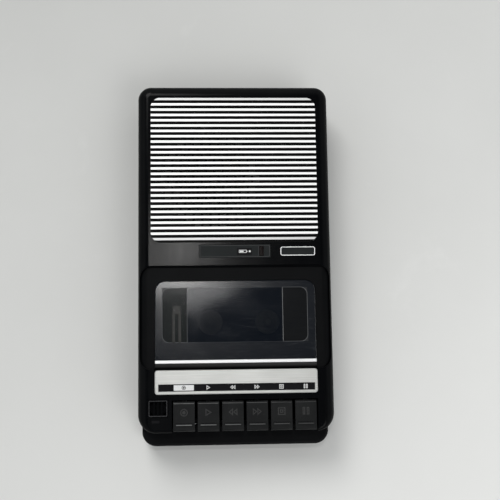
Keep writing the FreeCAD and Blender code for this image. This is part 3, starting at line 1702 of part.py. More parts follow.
def sockets():
    """Earphone and microphone jacks, mains inlet and low-voltage socket."""
    for name, y in JACKS:
        z = d.jack_height
        barrel = cylinder(name + "_barrel", d.jack_barrel, (side - 6.0, y, z), 5.8, "X")
        x_span = (side - 14.0, side - d.wall)
        y_span = (y - JACK_HALF, y + JACK_HALF)
        block = box(name + "_block", x_span, y_span, (z - JACK_HALF, z + JACK_HALF))
        bore = cylinder(name + "_bore", d.jack_bore, (side - 12.0, y, z), 14.0, "X")
        node(cut(name + "_drilled", fuse(name + "_solid", barrel, block), bore), name)
    shell = box("inlet_shell", INLET_X, (top - 15.0, top - 0.3), INLET_Z)
    flange = box(
        "inlet_flange",
        (INLET_X[0] - 2.5, INLET_X[1] + 2.5),
        (top - d.wall - 1.6, top - d.wall),
        (INLET_Z[0] - 2.0, INLET_Z[1] + 2.0),
    )
    middle_z = (INLET_Z[0] + INLET_Z[1]) / 2
    middle_x = (INLET_X[0] + INLET_X[1]) / 2
    sockets_x = (middle_x - INLET_HOLE, middle_x + INLET_HOLE)
    bottom = top - SOCKET_DEPTH
    z_span = (middle_z - INLET_HALF, middle_z + INLET_HALF)
    tools = []
    for x in sockets_x:
        tools.append(drum("inlet_well", INLET_HALF, (x, bottom, middle_z), SOCKET_DEPTH + OVERSHOOT, "Y"))
    tools.append(box("inlet_web", sockets_x, (bottom, top + OVERSHOOT), z_span))
    body = cut("inlet_body", fuse("inlet_blank", shell, flange), *tools)
    pins = [rod("inlet_pin", CONTACT_RADIUS, (x, bottom - 1.0, middle_z), 9.5, "Y") for x in sockets_x]
    node(fuse("inlet", body, *pins), "ac_inlet")
    barrel = cylinder("dc_body", d.dc_barrel, (DC_X, top - 13.0, DC_Z), 12.8, "Y")
    wide = d.dc_barrel + 1.0
    z_span = (DC_Z - wide, DC_Z + wide)
    flange = box("dc_flange", (DC_X - wide, DC_X + wide), (top - 13.0, top - d.wall), z_span)
    bore = cylinder("dc_bore", d.dc_bore, (DC_X, top - 10.0, DC_Z), SOCKET_DEPTH + OVERSHOOT, "Y")
    pin = rod("dc_pin", 0.9, (DC_X, bottom, DC_Z), 9.5, "Y")
    node(fuse("dc", cut("dc_shell", fuse("dc_blank", barrel, flange), bore), pin), "dc_jack")


def battery_parts():
    """Cover with two hook tabs and a finger catch, and the contact plates of the bay."""
    gap = d.insert_gap
    x = (bay_left + BAY_SIDE_LIP + gap, bay_right - BAY_SIDE_LIP - gap)
    y = (bay_low + BAY_END_LIP + gap, bay_high - BAY_END_LIP - gap)
    plate = box("cover_plate", x, y, (case_back, case_back + d.cover_thickness))
    pieces = [plate]
    high = case_back + d.cover_thickness
    for middle in (bay_left + 12.0, bay_right - 12.0):
        tab_x = (middle - 4.0, middle + 4.0)
        pieces.append(box("tab_root", tab_x, (y[0] + 0.2, y[0] + 2.4), (high - 0.2, high + 2.2)))
        pieces.append(box("tab", tab_x, (y[0] - 2.0, y[0] + 0.3), (high + 0.5, high + 2.2)))
    catch_x = (d.bay_centre - 6.0, d.bay_centre + 6.0)
    pieces.append(box("catch", catch_x, (y[1] - 3.0, y[1]), (high - 0.2, high + 4.0)))
    for offset in (-14.0, 14.0):
        rib_x = (d.bay_centre + offset - 0.8, d.bay_centre + offset + 0.8)
        pieces.append(box("cover_rib", rib_x, (y[0] + 8.0, y[1] - 8.0), (high - 0.2, high + 0.6)))
    solid = fuse("cover_solid", *pieces)
    grip = box(
        "grip_notch",
        (d.bay_centre - 7.0, d.bay_centre + 7.0),
        (y[1] - 4.0, y[1] - 1.4),
        (case_back - OVERSHOOT, case_back + 1.0),
    )
    node(cut("cover", solid, grip), "battery_cover")

    contacts = []
    half_cell = d.cell_diameter / 2
    left = d.bay_centre - half_cell
    right = d.bay_centre + half_cell
    thick = 0.5
    z = (case_back + 7.0, case_back + 23.0)
    contacts.append(box("bridge", (left - 8.0, right + 8.0), (bay_low + 0.05, bay_low + 0.05 + thick), z))
    for middle in (left, right):
        contacts.append(
            box("contact", (middle - 8.0, middle + 8.0), (bay_high - 0.05 - thick, bay_high - 0.05), z)
        )
        contacts.append(spring_coil(middle, bay_high - 0.05 - thick))
    node(group("contact_plates", contacts), "battery_contacts")


def spring_coil(x, y):
    """Battery spring, drawn as its closed stack."""
    return rod("contact_spring", 5.0, (x, y - 2.6, case_back + 15.0), 2.6, "Y")


def handle():
    """Pull-out handle: a bar across the key end and two arms with stop pins."""
    corner = d.handle_corner
    bar = prism(
        "handle_bar",
        "XY",
        rectangle(
            (-arm_outer, arm_outer),
            (handle_end, key_end - d.insert_gap),
            (corner - 0.6, corner - 0.6, 0, 0),
        ),
        (d.handle_low, d.handle_low + d.handle_height),
    )
    bar = bevelled("handle_soft", bar, handle_edge)
    pieces = [bar]
    for sign in (-1, 1):
        x = (arm_inner, arm_outer) if sign > 0 else (-arm_outer, -arm_inner)
        pieces.append(box("handle_arm", x, (key_end - d.insert_gap - 0.5, arm_back), (arm_low, arm_high)))
        middle = (arm_low + arm_high) / 2
        pin = (arm_inner - d.insert_gap - RAIL_WALL - 0.4, arm_inner + 0.2)
        pin = pin if sign > 0 else (-pin[1], -pin[0])
        pin_y = (arm_back - 1.0 - PIN_LENGTH, arm_back - 1.0)
        pieces.append(box("handle_pin", pin, pin_y, (middle - PIN_HEIGHT / 2, middle + PIN_HEIGHT / 2)))
    node(fuse("handle_solid", *pieces), "handle")


def handle_edge(edge):
    """Bevel the outer rim of the bar, above and below."""
    outer = edge.CenterOfMass.y < number(key_end) - number(d.insert_gap) - 0.01
    flat = level(edge, d.handle_low) or level(edge, d.handle_low + d.handle_height)
    return 1.8 if outer and flat and edge.CenterOfMass.y < number(handle_end) + 9.0 else None


front_cabinet()
rear_cabinet()
cabinet_screws()
rubber_feet()
grille_panel()
grille_bars()
strip_parts()
nameplate()
mic_parts()
speaker()
door_parts()
keys()
key_carrier()
deck()
drive()
heads()
electronics()
thumbwheels()
sockets()
battery_parts()
handle()
doc.recompute()

problems = []
for item in doc.Objects:
    if "Invalid" in item.State or "Error" in item.State:
        problems.append(f"{item.Name}: {item.State}")
for item in nodes:
    if item.Shape.isNull() or not item.Shape.isValid() or not item.Shape.Solids:
        problems.append(f"{item.Label}: no valid shape")
if problems:
    raise RuntimeError("; ".join(problems))

os.makedirs("parts", exist_ok=True)
for item in nodes:
    item.Shape.exportStep(os.path.join("parts", item.Label + ".step"))
    box_size = item.Shape.BoundBox
    print(f"{item.Label}: {len(item.Shape.Solids)} solids, {item.Shape.Volume / 1000:.2f} cm3, "
          f"x {box_size.XMin:.1f}..{box_size.XMax:.1f} y {box_size.YMin:.1f}..{box_size.YMax:.1f} "
          f"z {box_size.ZMin:.1f}..{box_size.ZMax:.1f}")
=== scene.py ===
import math
import bmesh
import bpy
from mathutils import Matrix, Vector


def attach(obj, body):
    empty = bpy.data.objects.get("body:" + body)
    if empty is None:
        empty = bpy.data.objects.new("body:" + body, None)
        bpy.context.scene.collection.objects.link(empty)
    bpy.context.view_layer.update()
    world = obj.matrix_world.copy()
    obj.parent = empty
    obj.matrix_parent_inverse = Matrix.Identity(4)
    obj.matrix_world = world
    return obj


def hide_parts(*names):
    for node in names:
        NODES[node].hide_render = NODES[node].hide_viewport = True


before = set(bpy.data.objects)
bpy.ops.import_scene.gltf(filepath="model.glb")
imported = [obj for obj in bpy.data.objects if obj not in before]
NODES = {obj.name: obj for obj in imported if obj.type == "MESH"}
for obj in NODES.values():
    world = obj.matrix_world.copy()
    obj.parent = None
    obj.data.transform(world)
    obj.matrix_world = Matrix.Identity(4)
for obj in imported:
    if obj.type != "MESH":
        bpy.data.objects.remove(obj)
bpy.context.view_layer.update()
MM = 0.001

# places and sizes in mm: x to the right, y towards the loudspeaker, z up from the back

KEYS = ("record_key", "play_key", "rewind_key", "forward_key", "stop_key", "pause_key")
KEY_FIRST, KEY_PITCH = -37.9, 17.55
KEY_TOP, RIB_TOP = 48.3, 49.0
BAR_FIRST, BAR_PITCH, BAR_COUNT, BAR_HALF = 122.75, 4.06, 27, 0.86
FACE_Z, GASKET_Z = 48.9, 45.5
WINDOW_X, WINDOW_Y, WINDOW_HALF_Y = -0.3, -38.4, 19.8
POCKETS_HALF_X, PANE_HALF_X = 53.0, 34.8
WHEEL_X, WHEELS = 61.6, (("volume_wheel", 6.0), ("tone_wheel", -14.0))
SPINDLE_Y, SPINDLES = -43.1, (("supply_spindle", -18.25), ("takeup_spindle", 24.25))
JACKS = (("ear_jack", -36.0), ("mic_jack", -50.0))
SCREW_PLACES = ((-63.5, 124.5), (4.0, 126.5), (-64.8, -5.0), (-30.0, -116.1), (38.0, -116.1))
SPEAKER_PLACE = (-17.6, 61.8)


# materials

class Finish:
    """A principled material with a small kit for its nodes. Positions are in metres."""

    def __init__(self, name):
        self.material = bpy.data.materials.new(name)
        self.material.use_nodes = True
        self.tree = self.material.node_tree
        self.tree.nodes.clear()
        self.output = self.add("ShaderNodeOutputMaterial")
        self.shader = self.add("ShaderNodeBsdfPrincipled")
        self.link(self.shader.outputs["BSDF"], self.output.inputs["Surface"])
        self.place = self.add("ShaderNodeTexCoord").outputs["Object"]
        self.height = None

    def add(self, kind, **settings):
        node = self.tree.nodes.new(kind)
        for key, value in settings.items():
            setattr(node, key, value)
        return node

    def link(self, start, end):
        self.tree.links.new(start, end)

    def set(self, **values):
        """Values that are the same all over the surface."""
        names = {
            "metallic": "Metallic", "roughness": "Roughness", "ior": "IOR",
            "specular": "Specular IOR Level", "subsurface": "Subsurface Weight",
        }
        for key, value in values.items():
            self.shader.inputs[names[key]].default_value = value

    def feed(self, name, socket):
        self.link(socket, self.shader.inputs[name])

    def mapped(self, scale):
        node = self.add("ShaderNodeMapping")
        node.inputs["Scale"].default_value = scale
        self.link(self.place, node.inputs["Vector"])
        return node.outputs["Vector"]

    def noise(self, scale, detail=3.0, rough=0.55, stretch=(1, 1, 1), distortion=0.0):
        node = self.add("ShaderNodeTexNoise")
        node.inputs["Scale"].default_value = scale
        node.inputs["Detail"].default_value = detail
        node.inputs["Roughness"].default_value = rough
        node.inputs["Distortion"].default_value = distortion
        self.link(self.mapped(stretch), node.inputs["Vector"])
        return node.outputs["Fac"]

    def cells(self, scale, stretch=(1, 1, 1), feature="F1"):
        node = self.add("ShaderNodeTexVoronoi", feature=feature)
        node.inputs["Scale"].default_value = scale
        self.link(self.mapped(stretch), node.inputs["Vector"])
        return node.outputs["Distance"]

    def fit(self, socket, low, high, to_low=0.0, to_high=1.0):
        """The range low to high drawn out to another one, and held at its ends."""
        node = self.add("ShaderNodeMapRange")
        node.inputs["From Min"].default_value = low
        node.inputs["From Max"].default_value = high
        node.inputs["To Min"].default_value = to_low
        node.inputs["To Max"].default_value = to_high
        self.link(socket, node.inputs["Value"])
        return node.outputs["Result"]

    def math(self, operation, first, second=None):
        node = self.add("ShaderNodeMath", operation=operation)
        for index, value in enumerate((first, second)):
            if value is None:
                continue
            if isinstance(value, (int, float)):
                node.inputs[index].default_value = value
            else:
                self.link(value, node.inputs[index])
        return node.outputs[0]

    def blend(self, factor, first, second):
        """Colour that goes from first to second."""
        node = self.add("ShaderNodeMix", data_type="RGBA")
        self.link(factor, node.inputs["Factor"])
        for name, value in (("A", first), ("B", second)):
            socket = [s for s in node.inputs if s.name == name and s.type == "RGBA"][0]
            if isinstance(value, tuple):
                socket.default_value = (*value, 1.0)
            else:
                self.link(value, socket)
        return [s for s in node.outputs if s.type == "RGBA"][0]

    def axis(self, index):
        """The place along one axis: 0, 1 or 2."""
        node = self.add("ShaderNodeSeparateXYZ")
        self.link(self.place, node.inputs[0])
        return node.outputs[index]

    def bump(self, height, distance, strength=1.0):
        """Adds a relief of that height in metres, on top of those added before."""
        node = self.add("ShaderNodeBump")
        node.inputs["Distance"].default_value = distance
        node.inputs["Strength"].default_value = strength
        self.link(height, node.inputs["Height"])
        if self.height is not None:
            self.link(self.height, node.inputs["Normal"])
        self.height = node.outputs["Normal"]
        self.link(self.height, self.shader.inputs["Normal"])


def moulded(
    name, dark, light, rough, grain_scale=2600, dust=0.10, smear=0.07, gloss=0.30, face=None,
):
    """Moulded plastic: fine grain, rubbed patches, a little dust; smoother above the height of face."""
    grain_depth, face_blend, face_polish = 0.000006, 0.0002, 0.28
    f = Finish(name)
    patch = f.noise(38, 4, 0.6)
    speck = f.fit(f.noise(900, 2, 0.7), 0.66, 0.80)
    tone = f.blend(f.fit(patch, 0.3, 0.75), dark, light)
    dusty = tuple(min(1.0, c + 0.06) for c in light)
    f.set(specular=gloss)
    f.feed("Base Color", f.blend(f.math("MULTIPLY", speck, dust), tone, dusty))
    streak = f.noise(60, 5, 0.62, (1.0, 0.35, 1.0), 0.6)
    worn = f.fit(streak, 0.25, 0.80, rough - smear, rough + smear)
    if face is not None:
        above = f.fit(f.axis(2), face - face_blend, face + face_blend, 0.0, face_polish)
        worn = f.math("SUBTRACT", worn, above)
    f.feed("Roughness", worn)
    f.bump(f.cells(grain_scale), grain_depth, 0.55)
    f.bump(f.noise(420, 4, 0.6), 0.00002, 0.25)
    return f


def brushed(name, color, rough, along=0, amount=0.10, scale=2200, metal=1.0):
    """Brushed or drawn metal: fine lines along an axis."""
    line_stretch, line_depth = 0.012, 0.000006
    f = Finish(name)
    stretch = [1.0, 1.0, 1.0]
    stretch[along] = line_stretch
    lines = f.noise(scale, 4, 0.65, tuple(stretch))
    wide = f.noise(30, 3, 0.5)
    low = tuple(c * (1 - amount) for c in color)
    high = tuple(min(1.0, c * (1 + amount * 0.4)) for c in color)
    f.set(metallic=metal)
    shade = f.math("MULTIPLY", lines, f.fit(wide, 0.2, 0.8, 0.7, 1.25))
    f.feed("Base Color", f.blend(shade, low, high))
    f.feed("Roughness", f.fit(lines, 0.25, 0.75, rough - 0.07, rough + 0.09))
    f.bump(lines, line_depth, 0.5)
    return f


def plated(name, color, rough, stain=0.25):
    """Zinc or nickel plated sheet with soft clouding and fine scratches."""
    f = Finish(name)
    cloud = f.noise(55, 5, 0.6)
    low = tuple(c * (1 - stain) for c in color)
    f.set(metallic=1.0)
    f.feed("Base Color", f.blend(f.fit(cloud, 0.3, 0.7), low, color))
    scratch = f.noise(700, 3, 0.6, (1.0, 0.05, 1.0))
    wear = f.math("ADD", cloud, f.math("MULTIPLY", scratch, 0.4))
    f.feed("Roughness", f.fit(wear, 0.4, 1.0, rough - 0.08, rough + 0.14))
    f.bump(scratch, 0.000005, 0.4)
    return f


def rubbery(name, dark, light, rough):
    """Dull rubber or ferrite with a fine pitted skin."""
    f = Finish(name)
    cloud = f.noise(120, 4, 0.6)
    f.feed("Base Color", f.blend(f.fit(cloud, 0.3, 0.7), dark, light))
    f.feed("Roughness", f.fit(cloud, 0.2, 0.8, rough - 0.1, rough + 0.12))
    f.bump(f.noise(3200, 2, 0.5), 0.00002, 0.5)
    return f


case_black = moulded("case_black", (0.0014, 0.0016, 0.0020), (0.0028, 0.0031, 0.0036), 0.60, gloss=0.02)
case_front = moulded(
    "case_front", (0.0014, 0.0016, 0.0020), (0.0028, 0.0031, 0.0036), 0.46,
    smear=0.03, gloss=0.06, face=FACE_Z * MM,
)
handle_black = moulded("handle_black", (0.0034, 0.0037, 0.0044), (0.0052, 0.0056, 0.0064), 0.50, gloss=0.05)
key_black = moulded(
    "key_black", (0.0060, 0.0066, 0.0070), (0.0120, 0.0126, 0.0130), 0.34,
    grain_scale=3000, dust=0.16, gloss=0.12,
)
# painted highlight: the raised pictograms are a lighter grey than the keys' own plastic
mark_highlight = moulded(
    "mark_highlight", (0.014, 0.0145, 0.015), (0.026, 0.0265, 0.027), 0.40, grain_scale=3000, dust=0.3,
)
grille_black = moulded(
    "grille_black", (0.0008, 0.0008, 0.0009), (0.0018, 0.0018, 0.0020), 0.45, dust=0.06, gloss=0.08,
)
inner_black = moulded("inner_black", (0.006, 0.006, 0.006), (0.012, 0.012, 0.012), 0.5)
panel_black = moulded(
    "panel_black", (0.0090, 0.0110, 0.0115), (0.0150, 0.0170, 0.0175), 0.50, dust=0.2, gloss=0.10,
)
plate_silver = brushed("plate_silver", (0.69, 0.70, 0.68), 0.36, 0, 0.42, 2400, metal=0.60)
trim_silver = brushed("trim_silver", (0.90, 0.91, 0.92), 0.40, 0, 0.05, 2200, metal=0.5)
steel = plated("steel", (0.56, 0.57, 0.58), 0.34)
deck_paint = plated("deck_paint", (0.10, 0.115, 0.14), 0.40, 0.3)
dark_steel = plated("dark_steel", (0.30, 0.30, 0.31), 0.42)
zinc = plated("zinc", (0.62, 0.61, 0.56), 0.38, 0.3)
spring_steel = plated("spring_steel", (0.52, 0.52, 0.51), 0.26, 0.15)
polished = brushed("polished", (0.72, 0.73, 0.74), 0.14, 2, 0.05, 1800)
brass = brushed("brass", (0.72, 0.54, 0.25), 0.26, 2, 0.12, 1500)
rubber = rubbery("rubber", (0.012, 0.012, 0.012), (0.026, 0.026, 0.026), 0.66)
foot_rubber = rubbery("foot_rubber", (0.03, 0.03, 0.03), (0.06, 0.058, 0.055), 0.8)
magnet_black = rubbery("magnet_black", (0.03, 0.03, 0.033), (0.06, 0.06, 0.065), 0.55)


def paper_pulp():
    """Felted dark cone paper."""
    f = Finish("paper_pulp")
    fibre = f.noise(1500, 5, 0.7, (1, 1, 1), 1.2)
    f.feed("Base Color", f.blend(fibre, (0.018, 0.016, 0.015), (0.05, 0.046, 0.042)))
    f.set(roughness=0.85)
    f.bump(fibre, 0.00005, 0.7)
    return f


def board():
    """Brown circuit board with green lacquered tracks."""
    f = Finish("board")
    weave = f.noise(260, 4, 0.6, (1, 3, 1))
    track = f.cells(160, (1, 0.5, 1), "DISTANCE_TO_EDGE")
    copper = f.fit(track, 0.02, 0.05)
    base = f.blend(weave, (0.20, 0.10, 0.035), (0.33, 0.19, 0.075))
    f.feed("Base Color", f.blend(f.math("MULTIPLY", copper, 0.5), base, (0.10, 0.16, 0.045)))
    f.set(roughness=0.45)
    f.bump(copper, 0.00003, 0.5)
    return f


def parts_mix():
    """The circuit's parts, some blue and most dark."""
    f = Finish("parts_mix")
    share = f.fit(f.noise(26, 0, 0.5), 0.42, 0.58)
    f.feed("Base Color", f.blend(share, (0.02, 0.03, 0.10), (0.03, 0.03, 0.032)))
    f.feed("Roughness", f.fit(f.noise(300, 3, 0.6), 0.3, 0.7, 0.28, 0.42))
    f.bump(f.noise(900, 3, 0.6), 0.00002, 0.3)
    return f


def iron_stack():
    """Edges of a stack of transformer sheets."""
    f = Finish("iron_stack")
    sheets = f.noise(1800, 1, 0.5, (0.02, 1, 0.02))
    f.feed("Base Color", f.blend(sheets, (0.05, 0.045, 0.04), (0.20, 0.18, 0.16)))
    f.set(metallic=0.7, roughness=0.5)
    f.bump(sheets, 0.0001, 0.7)
    return f


def white_nylon():
    """Ivory nylon, a little yellowed in clouds."""
    f = Finish("white_nylon")
    cloud = f.noise(90, 3, 0.5)
    f.feed("Base Color", f.blend(cloud, (0.42, 0.41, 0.37), (0.60, 0.59, 0.54)))
    f.feed("Roughness", f.fit(cloud, 0.3, 0.7, 0.3, 0.42))
    f.bump(f.noise(2200, 2, 0.5), 0.00001, 0.4)
    f.set(subsurface=0.05)
    return f


def ink(name, color, rough=0.45, gloss=0.5):
    """Screen print: flat ink with thin spots. Some of these inks are also used as painted shade and painted
    highlight.
    """
    f = Finish(name)
    thin = f.noise(1600, 4, 0.7)
    low = tuple(c * 0.78 for c in color)
    f.feed("Base Color", f.blend(f.fit(thin, 0.3, 0.6), low, color))
    f.feed("Roughness", f.fit(thin, 0.3, 0.7, rough - 0.08, rough + 0.12))
    f.set(specular=gloss)
    f.bump(thin, 0.000008, 0.4)
    return f


def bar_foil():
    """Bright foil on each rib, black along both edges; painted shade makes the first and the last rib
    duller.
    """
    edge_blend, rib_half = 0.03, 1.28
    ahead = 40.5  # half a pitch, and whole ones that keep the sum above zero
    to_last_rib = (BAR_COUNT - 1) / 2 * BAR_PITCH
    f = brushed("bar_foil", (0.93, 0.935, 0.94), 0.40, 0, 0.05, 2600, metal=0.25)
    shine = f.shader.inputs["Base Color"].links[0].from_socket
    steps = f.math("DIVIDE", f.math("SUBTRACT", f.axis(1), BAR_FIRST * MM), BAR_PITCH * MM)
    phase = f.math("FRACT", f.math("ADD", steps, ahead))
    off = f.math("ABSOLUTE", f.math("SUBTRACT", phase, 0.5))
    edge = f.fit(off, (BAR_HALF - edge_blend) / BAR_PITCH, (BAR_HALF + edge_blend) / BAR_PITCH)
    # painted shade: the first and the last rib are mixed towards dark grey
    middle = (BAR_FIRST - to_last_rib) * MM
    from_middle = f.math("ABSOLUTE", f.math("SUBTRACT", f.axis(1), middle))
    outer = f.math("GREATER_THAN", from_middle, (to_last_rib - rib_half) * MM)
    edge_rib_shade = f.blend(f.math("MULTIPLY", outer, 0.35), shine, (0.16, 0.165, 0.165))
    f.feed("Base Color", f.blend(edge, edge_rib_shade, (0.004, 0.004, 0.0045)))
    return f


def basket_zinc():
    """Plated basket with a black gasket on its front."""
    f = plated("basket_zinc", (0.62, 0.61, 0.56), 0.38, 0.3)
    bare = f.shader.inputs["Base Color"].links[0].from_socket
    front = f.math("GREATER_THAN", f.axis(2), GASKET_Z * MM)
    f.feed("Base Color", f.blend(front, bare, (0.004, 0.004, 0.004)))
    f.feed("Metallic", f.math("SUBTRACT", 1.0, front))
    return f


def rib_sheen():
    """Painted highlight on a key's edges, lighter towards the left of the part, with rubbed spots."""
    row_half = 45.0
    f = Finish("rib_sheen")
    rub = f.noise(500, 4, 0.6, (0.3, 1.0, 1.0))
    # painted highlight: bright on the left keys, fading to the right
    right = f.fit(f.axis(0), -row_half * MM, row_half * MM)
    worn = f.blend(right, (0.150, 0.155, 0.155), (0.022, 0.023, 0.024))
    f.feed("Base Color", f.blend(f.fit(rub, 0.3, 0.7, 0.0, 0.45), worn, (0.016, 0.017, 0.018)))
    f.feed("Roughness", f.fit(rub, 0.3, 0.7, 0.35, 0.5))
    f.bump(rub, 0.00001, 0.3)
    return f


def smoked():
    """Smoked acrylic plate: a dark tint, a hard gloss, fine scratches and finger marks.

    It is clearest over the two pockets beside the pane, and smoothest over the pane.
    """
    clearer, rough, pocket_rough, pane_rough = 0.54, 0.135, 0.120, 0.070
    f = Finish("smoked")
    haze = f.noise(46, 6, 0.65, (1, 1.4, 1), 0.5)
    scratch = f.fit(f.noise(1500, 3, 0.55, (0.10, 1.0, 1.0), 0.3), 0.60, 0.76)
    f.feed("Base Color", f.blend(scratch, (0.004, 0.006, 0.010), (0.030, 0.034, 0.040)))
    f.set(ior=1.62)
    side = f.math("ABSOLUTE", f.math("SUBTRACT", f.axis(0), WINDOW_X * MM))
    height = f.math("ABSOLUTE", f.math("SUBTRACT", f.axis(1), WINDOW_Y * MM))
    along = f.math("LESS_THAN", height, WINDOW_HALF_Y * MM)
    window = f.math("MULTIPLY", f.math("LESS_THAN", side, POCKETS_HALF_X * MM), along)
    pane = f.math("MULTIPLY", f.math("LESS_THAN", side, PANE_HALF_X * MM), along)
    cover = f.math("ADD", f.fit(window, 0, 1, 0.0, -clearer), f.fit(pane, 0, 1, 0.0, clearer))
    cloudy = f.math("ADD", f.fit(haze, 0.3, 0.7, 0.66, 0.72), f.math("MULTIPLY", scratch, 0.06))
    f.feed("Alpha", f.math("ADD", cloudy, cover))
    satin = f.math(
        "ADD", f.fit(window, 0, 1, rough, pocket_rough), f.fit(pane, 0, 1, 0.0, pane_rough - pocket_rough),
    )
    polish = f.math("ADD", satin, f.fit(haze, 0.35, 0.75, 0.0, 0.05))
    f.feed("Roughness", f.math("ADD", polish, f.math("MULTIPLY", scratch, 0.08)))
    f.bump(f.noise(24, 2, 0.5), 0.00005, 0.25)
    return f


def lens_red():
    """Lens of the unlit lamp, a red that is nearly black."""
    f = Finish("lens_red")
    cloud = f.noise(700, 3, 0.6)
    f.set(specular=0.15)
    f.feed("Base Color", f.blend(cloud, (0.0030, 0.0014, 0.0013), (0.0048, 0.0022, 0.0020)))
    f.feed("Roughness", f.fit(cloud, 0.3, 0.7, 0.10, 0.2))
    f.bump(cloud, 0.00001, 0.3)
    return f


def streaked(name, dark, light, rough=0.5, gloss=0.3):
    """Plain dark sheet with fine sideways polishing marks."""
    f = Finish(name)
    lines = f.noise(1400, 4, 0.65, (0.03, 1.0, 1.0), 0.2)
    wide = f.noise(70, 3, 0.6, (0.4, 1.0, 1.0))
    shade = f.math("MULTIPLY", f.fit(lines, 0.35, 0.7), f.fit(wide, 0.3, 0.7, 0.5, 1.0))
    f.feed("Base Color", f.blend(shade, dark, light))
    f.feed("Roughness", f.fit(lines, 0.3, 0.7, rough - 0.1, rough + 0.1))
    f.set(specular=gloss)
    f.bump(lines, 0.00001, 0.5)
    return f


paper = paper_pulp()
circuit = board()
components = parts_mix()
iron = iron_stack()
nylon = white_nylon()
white_ink = ink("white_ink", (0.72, 0.73, 0.73))
black_ink_and_shade = ink("black_ink_and_shade", (0.004, 0.004, 0.005), 0.60, 0.1)
faint_ink_and_highlight = ink("faint_ink_and_highlight", (0.035, 0.036, 0.038), 0.5)
band_ink_and_highlight = streaked("band_ink_and_highlight", (0.014, 0.015, 0.017), (0.034, 0.036, 0.039))
pocket_green = streaked(
    "pocket_green", (0.0025, 0.0040, 0.0040), (0.0090, 0.0125, 0.0115), gloss=0.1,
)
pocket_grey = streaked(
    "pocket_grey", (0.0015, 0.0018, 0.0022), (0.0045, 0.0050, 0.0056), gloss=0.1,
)
foil = bar_foil()
basket = basket_zinc()
key_highlight = rib_sheen()
line_ink = ink("line_ink", (0.15, 0.155, 0.16))
leaf_steel = brushed("leaf_steel", (0.05, 0.05, 0.048), 0.42, 1, 0.3, 1600)
smoke = smoked()
red_lens = lens_red()

FINISHES = {
    "front_cabinet": case_front, "rear_cabinet": case_black, "cabinet_screws": steel,
    "rubber_feet": foot_rubber, "grille_panel": grille_black, "grille_bars": foil,
    "indicator_panel": panel_black, "indicator_led": red_lens, "badge_plate": panel_black,
    "nameplate": plate_silver, "mic_grille": case_black, "mic_capsule": case_black,
    "speaker_frame": basket, "speaker_cone": paper, "speaker_magnet": magnet_black,
    "door_frame": inner_black, "door_window": smoke, "door_trim": trim_silver,
    "cassette_springs": spring_steel, "key_shaft": polished, "key_brackets": zinc,
    "key_springs": spring_steel, "deck_plate": deck_paint, "deck_screws": steel,
    "flywheel": brass, "capstan_shaft": polished, "capstan_bearing": brass,
    "flywheel_bracket": zinc, "motor": steel, "motor_pulley": brass, "drive_belt": rubber,
    "supply_spindle": nylon, "takeup_spindle": nylon, "head_plate": zinc, "play_head": polished,
    "erase_head": inner_black, "pinch_arm": zinc, "pinch_roller": rubber, "circuit_board": circuit,
    "board_spacers": inner_black, "board_components": components, "transformer": iron,
    "control_board": circuit, "control_pots": dark_steel, "volume_wheel": key_black,
    "tone_wheel": key_black, "ear_jack": inner_black, "mic_jack": inner_black,
    "ac_inlet": inner_black, "dc_jack": inner_black, "battery_cover": case_black,
    "battery_contacts": spring_steel, "handle": handle_black,
}
for key in KEYS:
    FINISHES[key] = key_black

for name, node in NODES.items():
    node.data.materials.clear()
    node.data.materials.append(FINISHES[name].material)


def soften(name, width):
    """Rounds the hard edges of a carried-over node by that width in mm."""
    same_place, hard_edge = 0.002, 28
    node = NODES[name]
    weld = node.modifiers.new("weld", "WELD")
    weld.merge_threshold = same_place * MM
    bevel = node.modifiers.new("bevel", "BEVEL")
    bevel.width = width * MM
    bevel.segments = 2
    bevel.limit_method = "ANGLE"
    bevel.angle_limit = math.radians(hard_edge)
    bevel.miter_outer = "MITER_SHARP"
    bevel.use_clamp_overlap = True
    bevel.harden_normals = False


for name in KEYS:
    soften(name, 0.35)
for name, width in (
    ("handle", 0.6), ("battery_cover", 0.25), ("rubber_feet", 0.5),
    ("badge_plate", 0.12), ("door_trim", 0.08), ("indicator_led", 0.25), ("transformer", 0.5),
    ("cassette_springs", 0.1), ("key_brackets", 0.15), ("head_plate", 0.12), ("erase_head", 0.2),
    ("play_head", 0.2), ("circuit_board", 0.1), ("ac_inlet", 0.15), ("ear_jack", 0.12), ("mic_jack", 0.12),
):
    soften(name, width)


# mesh helpers, in mm

def finish_piece(name, bm, finish, body, smooth=False):
    """Makes the mesh a piece of its own that rides on the body."""
    mesh = bpy.data.meshes.new(name)
    bmesh.ops.recalc_face_normals(bm, faces=bm.faces)
    bm.to_mesh(mesh)
    bm.free()
    piece = bpy.data.objects.new(name, mesh)
    bpy.context.scene.collection.objects.link(piece)
    mesh.materials.append(finish.material)
    for polygon in mesh.polygons:
        polygon.use_smooth = smooth
    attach(piece, body)
    return piece


def lifted(outline, z):
    return [(x, y, z) for x, y in outline]


def stacked(bm, rings, closed=False):
    """Skins rings of equal length, each a list of (x, y, z), one to the next."""
    levels = [[bm.verts.new((x * MM, y * MM, z * MM)) for x, y, z in ring] for ring in rings]
    count = len(levels[0])
    above = levels[1:] + levels[:1] if closed else levels[1:]
    for lower, upper in zip(levels, above):
        for i in range(count):
            j = (i + 1) % count
            bm.faces.new((lower[i], lower[j], upper[j], upper[i]))
    return levels


def capped(bm, rings):
    """Skins the rings and closes both ends."""
    levels = stacked(bm, rings)
    bm.faces.new(list(reversed(levels[0])))
    bm.faces.new(levels[-1])


def extrude_shape(bm, points, low, high, hole=None):
    """Adds a flat plate with that outline and, where asked, one hole with as many points."""
    rings = [lifted(points, low), lifted(points, high)]
    if hole is None:
        capped(bm, rings)
    else:
        stacked(bm, rings + [lifted(hole, high), lifted(hole, low)], closed=True)


